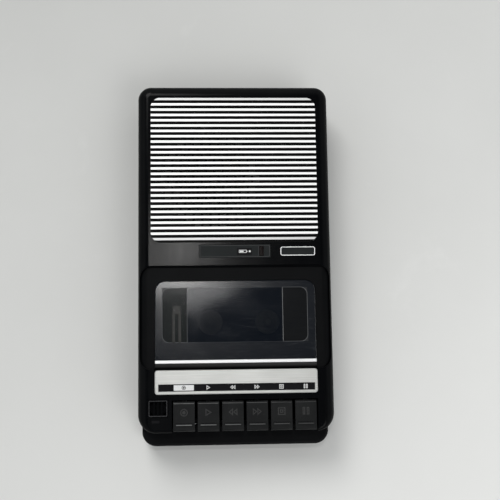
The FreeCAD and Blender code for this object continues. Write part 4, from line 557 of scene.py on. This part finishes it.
def sheet(name, outline, levels, finish, body, hole=None):
    """A thin printed or punched sheet between two levels; some sheets are painted highlights and painted
    shade.
    """
    bm = bmesh.new()
    extrude_shape(bm, outline, *levels, hole)
    return finish_piece(name, bm, finish, body)


def box_outline(x0, x1, y0, y1):
    return [(x0, y0), (x1, y0), (x1, y1), (x0, y1)]


def round_rectangle(x0, x1, y0, y1, radius, steps=6):
    points = []
    for cx, cy, start in (
        (x1 - radius, y0 + radius, -90), (x1 - radius, y1 - radius, 0),
        (x0 + radius, y1 - radius, 90), (x0 + radius, y0 + radius, 180),
    ):
        for step in range(steps + 1):
            angle = math.radians(start + 90 * step / steps)
            points.append((cx + radius * math.cos(angle), cy + radius * math.sin(angle)))
    return points


def line_frame(name, box, width, radii, levels, finish, body, steps=3):
    """A printed line inside a box (x0, x1, y0, y1), with the radii of its outer and inner corners; round
    the door's band it is a painted highlight.
    """
    x0, x1, y0, y1 = box
    outer = round_rectangle(x0, x1, y0, y1, radii[0], steps)
    inner = round_rectangle(x0 + width, x1 - width, y0 + width, y1 - width, radii[1], steps)
    return sheet(name, outer, levels, finish, body, inner)


def ring_at(radius, z, count, centre, cut=0.0, every=1, start=0.0):
    """A circle of points at that height; every so many points one lies deeper by the cut."""
    points = []
    for i in range(count):
        angle = start + 2 * math.pi * i / count
        reach = radius - (cut if i % every == 0 else 0.0)
        points.append((centre[0] + reach * math.cos(angle), centre[1] + reach * math.sin(angle), z))
    return points


def disc(cx, cy, radius, count):
    return [(x, y) for x, y, z in ring_at(radius, 0.0, count, (cx, cy))]


def lathe(bm, profile, centre, count):
    """A body of revolution from a profile of (radius, z), closed at both ends."""
    capped(bm, [ring_at(radius, z, count, centre) for radius, z in profile])


def swing_axes(bm, order):
    """Turns the drawn axes round: order names where each new coordinate comes from."""
    for vert in bm.verts:
        old = tuple(vert.co)
        vert.co = (old[order[0]], old[order[1]], old[order[2]])


def coil(bm, centre, axis, radii, span, turns, wire):
    """A wound wire round an axis (0, 1 or 2) from span[0] to span[1], with its own radius."""
    steps_per_turn, sides = 18, 6
    count = int(turns * steps_per_turn)
    others = [i for i in range(3) if i != axis]
    rings = []
    for i in range(count + 1):
        share = i / count
        angle = 2 * math.pi * turns * share
        reach = radii[0] + (radii[1] - radii[0]) * share
        along = span[0] + (span[1] - span[0]) * share
        ring = []
        for k in range(sides):
            lean = 2 * math.pi * k / sides
            out = reach + wire * math.cos(lean)
            point = [0.0, 0.0, 0.0]
            point[axis] = along + wire * math.sin(lean)
            point[others[0]] = centre[0] + out * math.cos(angle)
            point[others[1]] = centre[1] + out * math.sin(angle)
            ring.append(tuple(point))
        rings.append(ring)
    capped(bm, rings)


def shrink(points, amount):
    """The outline moved in by that much, corner by corner."""
    sharpest = 0.25
    result = []
    count = len(points)
    for i in range(count):
        before, here, after = (Vector(points[(i + k) % count]) for k in (-1, 0, 1))
        first = (here - before).normalized()
        second = (after - here).normalized()
        normal = Vector((-first.y - second.y, first.x + second.x)).normalized()
        cosine = max(sharpest, normal.dot(Vector((-first.y, first.x))))
        result.append(tuple(here + normal * (amount / cosine)))
    return result


# pictograms

def symbol_shapes(kind, cx, cy, size):
    """Outlines (outline, hole) of a transport pictogram."""
    h = size / 2
    line = size * 0.13

    def arrow(x0, x1):
        points = [(cx + x0, cy - h), (cx + x1, cy), (cx + x0, cy + h)]
        if x1 < x0:
            points.reverse()
        return points

    def hollow(points):
        return (points, shrink(points, line))

    def square(x0, x1, half):
        return box_outline(cx + x0, cx + x1, cy - half, cy + half)

    if kind == "record_key":
        return [hollow(disc(cx, cy, h, 40)), (disc(cx, cy, h * 0.45, 40), None)]
    if kind == "play_key":
        return [hollow(arrow(-h * 0.8, h * 0.9))]
    if kind == "rewind_key":
        return [hollow(arrow(0.0, -h * 1.2)), hollow(arrow(h * 1.2, 0.0))]
    if kind == "forward_key":
        return [hollow(arrow(-h * 1.2, 0.0)), hollow(arrow(0.0, h * 1.2))]
    if kind == "stop_key":
        return [hollow(square(-h, h, h)), hollow(square(-h * 0.45, h * 0.45, h * 0.45))]
    return [hollow(square(-h * 0.9, -h * 0.2, h)), hollow(square(h * 0.2, h * 0.9, h))]


def symbols(name, kind, cx, cy, size, levels, finish, body):
    bm = bmesh.new()
    for outline, hole in symbol_shapes(kind, cx, cy, size):
        extrude_shape(bm, outline, *levels, hole)
    return finish_piece(name, bm, finish, body)


# pieces

def key_middle(index):
    return KEY_FIRST + KEY_PITCH * index


def key_marks():
    """Raised pictogram on each key, in a lighter grey than the key: a painted highlight."""
    mark_y, size = -108.3, 5.4
    levels = (KEY_TOP - 0.05, KEY_TOP + 0.13)
    for index, key in enumerate(KEYS):
        symbols(f"{key}_mark", key, key_middle(index), mark_y, size, levels, mark_highlight, key)


def key_lines():
    """Painted highlight on the edge of each key's slope and on the top of its rib, and a painted shadow
    line beside the rib.
    """
    slope_half, rib_half, shade_half = 7.2, 5.7, 5.9
    slope_y, rib_y, shade_y = (-102.05, -101.75), (-117.45, -116.85), (-116.4, -115.9)
    sunk, proud, flush = 0.02, 0.03, 0.02
    for index, key in enumerate(KEYS):
        x = key_middle(index)
        # painted highlight along the top edge of the slope
        slope = round_rectangle(x - slope_half, x + slope_half, *slope_y, 0.1, 2)
        sheet(f"{key}_slope_highlight", slope, (KEY_TOP - sunk, KEY_TOP + proud), key_highlight, key)
        # painted highlight on the top of the rib
        rib = round_rectangle(x - rib_half, x + rib_half, *rib_y, 0.2, 3)
        sheet(f"{key}_rib_highlight", rib, (RIB_TOP - sunk, RIB_TOP + proud), key_highlight, key)
        # painted shadow: a black line beside the rib
        painted_shade = round_rectangle(x - shade_half, x + shade_half, *shade_y, 0.2, 3)
        sheet(f"{key}_rib_painted_shade", painted_shade, (KEY_TOP - sunk, KEY_TOP + flush), black_ink_and_shade, key)


def thumbwheel(name, y):
    """Knurled wheel with a bore and one white tooth as its mark."""
    low, high, bore, side, rim, knurl = 24.5, 28.9, 1.97, 8.1, 9.0, 0.5
    points, points_per_notch = 144, 3

    def ring(radius, z, cut=0.0):
        return ring_at(radius, z, points, (WHEEL_X, y), cut, points_per_notch)

    bm = bmesh.new()
    stacked(bm, [
        ring(bore, low), ring(side, low), ring(rim - 0.1, low + 0.6, 0.1), ring(rim, low + 1.0, knurl),
        ring(rim, high - 1.0, knurl), ring(rim - 0.1, high - 0.6, 0.1), ring(side, high), ring(bore, high),
    ], closed=True)
    piece = finish_piece(f"{name}_knurled", bm, key_black, name)
    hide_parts(name)
    tooth = box_outline(70.1, 70.62, y - 0.22, y + 0.22)
    sheet(f"{name}_mark", tooth, (low + 1.1, high - 1.1), white_ink, name)


def reel_hub(name, x):
    """Reel table with a turned edge, a tapered spindle and three rounded splines."""
    splines, root, edge = 3, 2.6, 0.25
    bm = bmesh.new()
    lathe(bm, [
        (1.2, 28.1), (1.5, 28.4), (1.5, 31.6), (8.4, 31.6), (9.0, 31.9), (9.0, 32.6), (8.6, 33.0),
        (6.8, 33.0), (6.6, 32.75), (5.0, 32.75), (4.8, 33.0), (3.4, 33.05), (3.1, 33.4),
        (3.1, 39.6), (2.7, 40.8), (1.6, 41.5), (0.6, 41.6),
    ], (x, SPINDLE_Y), 48)
    for index in range(splines):
        angle = math.radians(90 + 360 / splines * index)
        along = Vector((math.cos(angle), math.sin(angle)))
        across = Vector((-along.y, along.x))
        rings = []
        for z, reach, half in ((32.95, 4.1, 0.5), (37.4, 4.1, 0.5), (38.4, 3.8, 0.42), (38.9, 3.1, 0.3)):
            ring = []
            for out, side in (
                (root, -half), (reach - edge, -half), (reach, -half / 2),
                (reach, half / 2), (reach - edge, half), (root, half),
            ):
                spot = along * out + across * side
                ring.append((x + spot.x, SPINDLE_Y + spot.y, z))
            rings.append(ring)
        capped(bm, rings)
    piece = finish_piece(f"{name}_hub", bm, nylon, name)
    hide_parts(name)


def cross_outline(cx, cy, half, arm, parts=3):
    """Outline of a cross recess, each edge cut into that many parts."""
    corners = [
        (arm, -half), (arm, half), (half, half), (half, arm), (-half, arm), (-half, half),
        (-arm, half), (-arm, -half), (-half, -half), (-half, -arm), (half, -arm), (half, -half),
    ]
    points = []
    for (x0, y0), (x1, y1) in zip(corners, corners[1:] + corners[:1]):
        for k in range(parts):
            share = k / parts
            points.append((cx + x0 + (x1 - x0) * share, cy + y0 + (y1 - y0) * share))
    return points


def back_screws():
    """Cross-head screws, seen at the bottom of the wells in the back."""
    half, arm, head_top, recess_floor = 0.35, 1.45, 8.0, 9.1
    profile = ((2.1, head_top), (2.5, 8.45), (2.5, 10.0), (1.3, 10.0), (1.3, 29.2), (0.5, 31.0))
    start = -math.atan2(half, arm)
    bm = bmesh.new()
    for x, y in SCREW_PLACES:
        cross = cross_outline(x, y, half, arm)
        rings = [lifted(cross, recess_floor), lifted(cross, head_top)]
        for radius, z in profile:
            rings.append(ring_at(radius, z, len(cross), (x, y), start=start))
        capped(bm, rings)
    piece = finish_piece("back_screws", bm, steel, "case")
    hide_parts("cabinet_screws")


def battery_springs():
    """Contact plates of the battery bay: a bridge with two domes, and two with a wound spring."""
    cells, height, plate_z = (25.1, 51.3), 17.0, (9.0, 25.0)
    bridge_y, end_y, corner = (20.65, 21.15), (126.45, 126.95), 1.6
    dome = ((3.6, 21.1), (2.9, 21.9), (0.8, 22.2))
    bm = bmesh.new()
    for plate_x, plate_y in (((17.1, 59.3), bridge_y), ((17.1, 33.1), end_y), ((43.3, 59.3), end_y)):
        extrude_shape(bm, round_rectangle(*plate_x, *plate_z, corner), *plate_y)
    for x in cells:
        capped(bm, [lifted(disc(x, height, radius, 24), y) for radius, y in dome])
    swing_axes(bm, (0, 2, 1))
    for x in cells:
        coil(bm, (x, height), 1, (4.55, 2.6), (126.0, 124.3), 3.0, 0.42)
    piece = finish_piece("battery_contacts_wound", bm, spring_steel, "case")
    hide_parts("battery_contacts")


def wound_key_springs():
    """Torsion springs round the keys' shaft."""
    first, shaft, radius, wire = -34.25, (-96.0, 39.0), 2.95, 0.32
    length, turns = 2.7, 4.0
    bm = bmesh.new()
    for index in range(len(KEYS)):
        start = first + KEY_PITCH * index
        coil(bm, shaft, 0, (radius, radius), (start, start + length), turns, wire)
    piece = finish_piece("key_springs_wound", bm, spring_steel, "case")
    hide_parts("key_springs")


def loudspeaker():
    """Paper cone with a rolled edge and a dust cap, and the magnet between its plates."""
    around = 64
    face = [
        (27.75, 45.3), (27.75, 45.7), (26.9, 45.8), (26.3, 46.0), (25.6, 46.05), (24.9, 45.8), (24.4, 45.2),
        (22.0, 44.0), (21.6, 44.15), (21.2, 43.7), (18.0, 42.2), (17.6, 42.35), (17.2, 41.9), (12.0, 39.6),
        (7.2, 37.75), (6.9, 38.2), (5.6, 38.9), (3.6, 39.4), (1.6, 39.6), (0.3, 39.65),
    ]
    back = [(0.3, 39.2), (3.4, 38.9), (5.2, 38.4), (6.6, 37.2), (12.0, 39.0), (24.3, 44.6), (26.0, 45.3)]
    bm = bmesh.new()
    stacked(bm, [ring_at(radius, z, around, SPEAKER_PLACE) for radius, z in face + back], closed=True)
    piece = finish_piece("cone_rolled", bm, paper, "case", smooth=True)
    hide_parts("speaker_cone")
    bm = bmesh.new()
    lathe(bm, [
        (2.0, 24.1), (2.6, 23.6), (19.6, 23.6), (20.4, 24.1), (20.4, 25.8), (20.95, 26.0), (20.95, 30.9),
        (20.2, 31.1), (20.2, 32.5), (6.9, 32.55), (6.9, 34.9), (6.6, 35.1), (2.0, 35.1),
    ], SPEAKER_PLACE, around)
    piece = finish_piece("magnet_stack", bm, magnet_black, "case")
    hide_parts("speaker_magnet")


def socket_bushes():
    """Nickel bush in each of the two sockets on the right side."""
    height, outer, inner, depth = 14.5, 2.85, 1.85, (70.6, 70.95)
    for name, y in JACKS:
        bm = bmesh.new()
        extrude_shape(bm, disc(y, height, outer, 32), *depth, disc(y, height, inner, 32))
        swing_axes(bm, (2, 0, 1))
        finish_piece(f"{name}_bush", bm, polished, "case")


def cover_grip():
    """Arrow and grip ribs on the battery cover, which faces down."""
    foot, shoulder, crest = 2.05, 1.85, 1.65
    rows, first_y, pitch = 6, 96.0, 2.2
    bm = bmesh.new()
    extrude_shape(bm, [(38.2, 117.0), (34.6, 111.6), (41.8, 111.6)], crest, foot)
    for row in range(rows):
        y = first_y + pitch * row
        wide = round_rectangle(28.2, 48.2, y - 0.5, y + 0.5, 0.45, 3)
        narrow = round_rectangle(28.5, 47.9, y - 0.2, y + 0.2, 0.18, 3)
        capped(bm, [lifted(wide, foot), lifted(wide, shoulder), lifted(narrow, crest)])
    finish_piece("battery_cover_grip", bm, case_black, "battery_cover")


def nameplate():
    """Brushed plate with a bevelled rim and a sunk band, which carries the keys' pictograms."""
    foot, shoulder, top, sunk = 49.1, 49.62, 50.0, 49.94
    strip_low, strip_high = -93.3, -88.0
    band_top, box_top, mark_top = 49.955, 49.972, 49.985
    outline = round_rectangle(-58.65, 58.65, -95.3, -78.1, 2.0)
    inner = round_rectangle(-58.15, 58.15, -94.8, -78.6, 1.5)
    strip = round_rectangle(-56.2, 56.7, strip_low, strip_high, 0.25)
    bm = bmesh.new()
    capped(bm, [
        lifted(outline, foot), lifted(outline, shoulder), lifted(inner, top),
        lifted(strip, top), lifted(strip, sunk),
    ])
    piece = finish_piece("nameplate_body", bm, plate_silver, "case")
    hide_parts("nameplate")
    band = round_rectangle(-56.15, 56.65, strip_low + 0.05, strip_high - 0.05, 0.2)
    sheet("nameplate_band", band, (sunk - 0.005, band_top), black_ink_and_shade, "case")
    y = (strip_low + strip_high) / 2
    for index, key in enumerate(KEYS):
        x = key_middle(index)
        if key == "record_key":
            patch = round_rectangle(x - 7.2, x + 7.2, y - 1.95, y + 1.95, 0.3)
            sheet("band_record_box", patch, (band_top, box_top), white_ink, "case")
            symbols("band_record_mark", key, x, y, 2.9, (box_top, mark_top), black_ink_and_shade, "case")
        else:
            symbols(f"band_{key}_mark", key, x, y, 3.1, (band_top, band_top + 0.02), white_ink, "case")


def door_prints():
    """What shows through the smoked plate: printed band, pockets, leaf springs, edge lines; the line round
    the band's outer edge is a painted highlight.
    """
    band_levels, line_levels, leaf_levels = (46.93, 46.95), (46.95, 46.965), (46.955, 46.975)
    pocket_levels, pocket_edge_levels = (46.905, 46.92), (46.905, 46.94)
    hole = round_rectangle(-53.3, 52.6, -58.2, -18.6, 5.0)
    band = round_rectangle(-58.0, 58.0, -70.5, -14.0, 7.2)
    sheet("window_band", band, band_levels, band_ink_and_highlight, "door", hole)
    # painted highlight: a light line round the outer edge of the band
    line_frame(
        "window_edge", (-58.3, 58.3, -70.6, -13.7), 0.4, (7.4, 7.0), line_levels, faint_ink_and_highlight, "door", 6,
    )
    line_frame(
        "window_line", (-53.5, 52.8, -58.4, -18.4), 0.35, (5.2, 4.85), line_levels, line_ink, "door", 6,
    )
    for name, box, levels, finish in (
        ("pocket_left", (-53.3, -35.3, -58.0, -18.7), pocket_levels, pocket_green),
        ("pocket_right", (34.5, 52.6, -58.0, -18.7), pocket_levels, pocket_grey),
        ("pocket_edge_left", (-35.4, -35.15, -58.1, -18.6), pocket_edge_levels, line_ink),
        ("pocket_edge_right", (34.3, 34.7, -58.1, -18.6), pocket_edge_levels, white_ink),
    ):
        sheet(name, box_outline(*box), levels, finish, "door")
    forked = [
        (-46.2, -69.5), (-44.1, -69.5), (-44.1, -37.5), (-41.6, -37.5), (-41.6, -69.5), (-39.4, -69.5),
        (-39.9, -36.0), (-40.6, -31.5), (-45.0, -31.5), (-45.8, -36.0),
    ]
    sheet("leaf_left", forked, leaf_levels, leaf_steel, "door")
    sheet("leaf_right", box_outline(53.6, 55.2, -69.6, -62.2), leaf_levels, leaf_steel, "door")
    sheet("leaf_right_outer", box_outline(56.4, 57.8, -69.6, -64.0), leaf_levels, leaf_steel, "door")


def panel_prints():
    """Rule lines and a battery pictogram on the indicator panel, a painted highlight along the lamp's left
    edge, a rim on the badge plate.
    """
    top = 49.1
    ground, print_levels = (top - 0.01, top + 0.015), (top + 0.015, top + 0.03)
    line_frame("panel_rule", (-25.6, 25.6, 3.8, 12.3), 0.25, (0.5, 0.4), ground, faint_ink_and_highlight, "case")
    sheet("panel_patch", round_rectangle(1.5, 12.5, 5.1, 10.2, 0.3, 3), ground, black_ink_and_shade, "case")
    line_frame("panel_cell", (3.0, 8.6, 6.7, 8.9), 0.35, (0.3, 0.15), print_levels, white_ink, "case")
    for name, outline in (
        ("panel_cell_fill", round_rectangle(3.6, 6.4, 7.25, 8.35, 0.1, 3)),
        ("panel_cell_tip", round_rectangle(8.6, 9.15, 7.3, 8.3, 0.1, 3)),
        ("panel_dot", disc(10.9, 7.8, 0.75, 24)),
    ):
        sheet(name, outline, print_levels, white_ink, "case")
    # painted highlight: a lighter strip along the left edge of the unlit lamp
    lamp_highlight = round_rectangle(17.3, 17.8, 4.6, 11.5, 0.1, 2)
    sheet("lamp_highlight", lamp_highlight, (top - 0.01, top + 0.02), band_ink_and_highlight, "case")
    badge_levels = (49.79, 49.83)
    line_frame("badge_rim", (33.5, 58.9, 4.4, 10.9), 0.5, (1.5, 1.0), badge_levels, trim_silver, "case", 6)


def mic_prints():
    """Fine light line round the microphone's louvres and a bare dark place below them."""
    line_levels, patch_levels = (49.79, 49.82), (49.49, 49.52)
    line_frame("mic_line", (-62.9, -49.9, -110.6, -99.6), 0.3, (0.5, 0.4), line_levels, faint_ink_and_highlight, "case")
    patch = round_rectangle(-60.9, -55.4, -115.4, -113.6, 0.3, 3)
    sheet("mic_patch", patch, patch_levels, black_ink_and_shade, "case")


key_marks()
for wheel, wheel_y in WHEELS:
    thumbwheel(wheel, wheel_y)
for hub, hub_x in SPINDLES:
    reel_hub(hub, hub_x)
back_screws()
battery_springs()
wound_key_springs()
loudspeaker()
socket_bushes()
cover_grip()
nameplate()
key_lines()
door_prints()
panel_prints()
mic_prints()


# floor, lamps and camera, in metres

FLOOR_HALF = 3.0
CARD_Z = 1.50
LAMP_WHITE = (1.0, 0.99, 0.975)
SKY = ((0.0, 0.10), (0.30, 0.68), (0.66, 0.68), (0.90, 0.03))
PHOTO_PIXELS, FOCAL_PIXELS, SENSOR_WIDTH = 500, 950, 36.0
CAMERA_RIGHT = Vector((0.998648, -0.014569, 0.049899))
CAMERA_UP = Vector((0.007852, 0.991186, 0.132246))
CAMERA_PLACE = Vector((-0.024718, -0.083056, 0.739196))


def floor_material():
    """Pale plaster with soft clouds and scuffs, with painted shade that makes it greyer towards negative x
    and positive y, the upper left as the camera sees it.
    """
    f = Finish("floor_plaster")
    cloud = f.noise(3.2, 5, 0.6)
    mark = f.noise(11, 6, 0.68, (1, 1, 1), 1.1)
    # painted light and shade: greyer towards negative x and positive y, paler the other way
    grey = f.blend(f.fit(cloud, 0.3, 0.7), (0.460, 0.466, 0.456), (0.500, 0.506, 0.496))
    pale = f.blend(f.fit(cloud, 0.3, 0.7), (0.770, 0.776, 0.764), (0.820, 0.826, 0.814))
    across = f.math("SUBTRACT", f.math("MULTIPLY", f.axis(0), 0.34), f.math("MULTIPLY", f.axis(1), 0.52))
    base = f.blend(f.fit(across, -0.20, 0.20), grey, pale)
    f.feed("Base Color", f.blend(f.fit(mark, 0.60, 0.72, 0, 0.1), base, (0.86, 0.865, 0.855)))
    f.set(roughness=0.7)
    f.bump(mark, 0.0006, 0.25)
    f.bump(f.noise(160, 4, 0.6), 0.0001, 0.25)
    return f


def lay_floor():
    bm = bmesh.new()
    bmesh.ops.create_grid(bm, x_segments=2, y_segments=2, size=FLOOR_HALF)
    mesh = bpy.data.meshes.new("floor")
    bm.to_mesh(mesh)
    bm.free()
    floor = bpy.data.objects.new("floor", mesh)
    bpy.context.scene.collection.objects.link(floor)
    mesh.materials.append(floor_material().material)


def area_lamp(name, place, aim, width, height, power, color=LAMP_WHITE):
    """A rectangular lamp that faces the point aim."""
    lamp = bpy.data.lights.new(name, "AREA")
    lamp.shape = "RECTANGLE"
    lamp.size = width
    lamp.size_y = height
    lamp.energy = power
    lamp.color = color
    item = bpy.data.objects.new(name, lamp)
    bpy.context.scene.collection.objects.link(item)
    item.location = place
    item.rotation_euler = (Vector(aim) - Vector(place)).to_track_quat("-Z", "Y").to_euler()
    return item


def card(name, x, y, width, height, power, color=LAMP_WHITE):
    """A small lamp that faces straight down, there to be mirrored in the recorder's face."""
    return area_lamp(name, (x, y, CARD_Z), (x, y, 0), width, height, power, color)


def set_lamps():
    """Two large soft lamps outside the mirrored part of the room, and three cards in it.

    The wedge is turned, so that its lower edge rises to the right in the smoked plate.
    """
    area_lamp("key_light", (-0.62, 1.30, 1.90), (0, 0, 0), 1.00, 1.00, 27.0)
    area_lamp("fill_light", (0.72, -0.92, 1.80), (0, 0, 0), 1.00, 1.00, 10.5)
    card("sheen_light", -0.087, 0.205, 0.134, 0.056, 2.15)
    card("low_light", -0.060, -0.190, 0.20, 0.09, 0.06)
    wedge = card("wedge_light", -0.022, 0.116, 0.142, 0.066, 0.10, (1, 1, 1))
    wedge.rotation_euler = Matrix.Rotation(math.radians(20), 3, "Z").to_euler()


def studio_world():
    """Bright half way up, dim at the horizon and nearly black overhead."""
    world = bpy.data.worlds.new("studio")
    bpy.context.scene.world = world
    world.use_nodes = True
    tree = world.node_tree
    place = tree.nodes.new("ShaderNodeTexCoord")
    split = tree.nodes.new("ShaderNodeSeparateXYZ")
    tree.links.new(place.outputs["Generated"], split.inputs[0])
    height = tree.nodes.new("ShaderNodeValToRGB")
    stops = height.color_ramp.elements
    stops[1].position = SKY[-1][0]
    for middle in SKY[1:-1]:
        stops.new(middle[0])
    for stop, (position, glow) in zip(stops, SKY):
        stop.color = (glow * 0.97, glow * 0.99, glow, 1.0)
    tree.links.new(split.outputs["Z"], height.inputs["Fac"])
    background = tree.nodes["Background"]
    tree.links.new(height.outputs["Color"], background.inputs["Color"])


def place_camera():
    """The photograph's view, solved from its straight edges."""
    data = bpy.data.cameras.new("camera")
    data.sensor_width = SENSOR_WIDTH
    data.sensor_fit = "HORIZONTAL"
    data.lens = FOCAL_PIXELS / PHOTO_PIXELS * SENSOR_WIDTH
    data.clip_start = 0.01
    camera = bpy.data.objects.new("camera", data)
    bpy.context.scene.collection.objects.link(camera)
    columns = (CAMERA_RIGHT, CAMERA_UP, CAMERA_RIGHT.cross(CAMERA_UP), CAMERA_PLACE)
    rows = [[column[i] for column in columns] for i in range(3)]
    camera.matrix_world = Matrix((*rows, (0, 0, 0, 1)))
    bpy.context.scene.camera = camera


lay_floor()
set_lamps()
studio_world()
place_camera()
bpy.context.scene.view_settings.view_transform = "Standard"
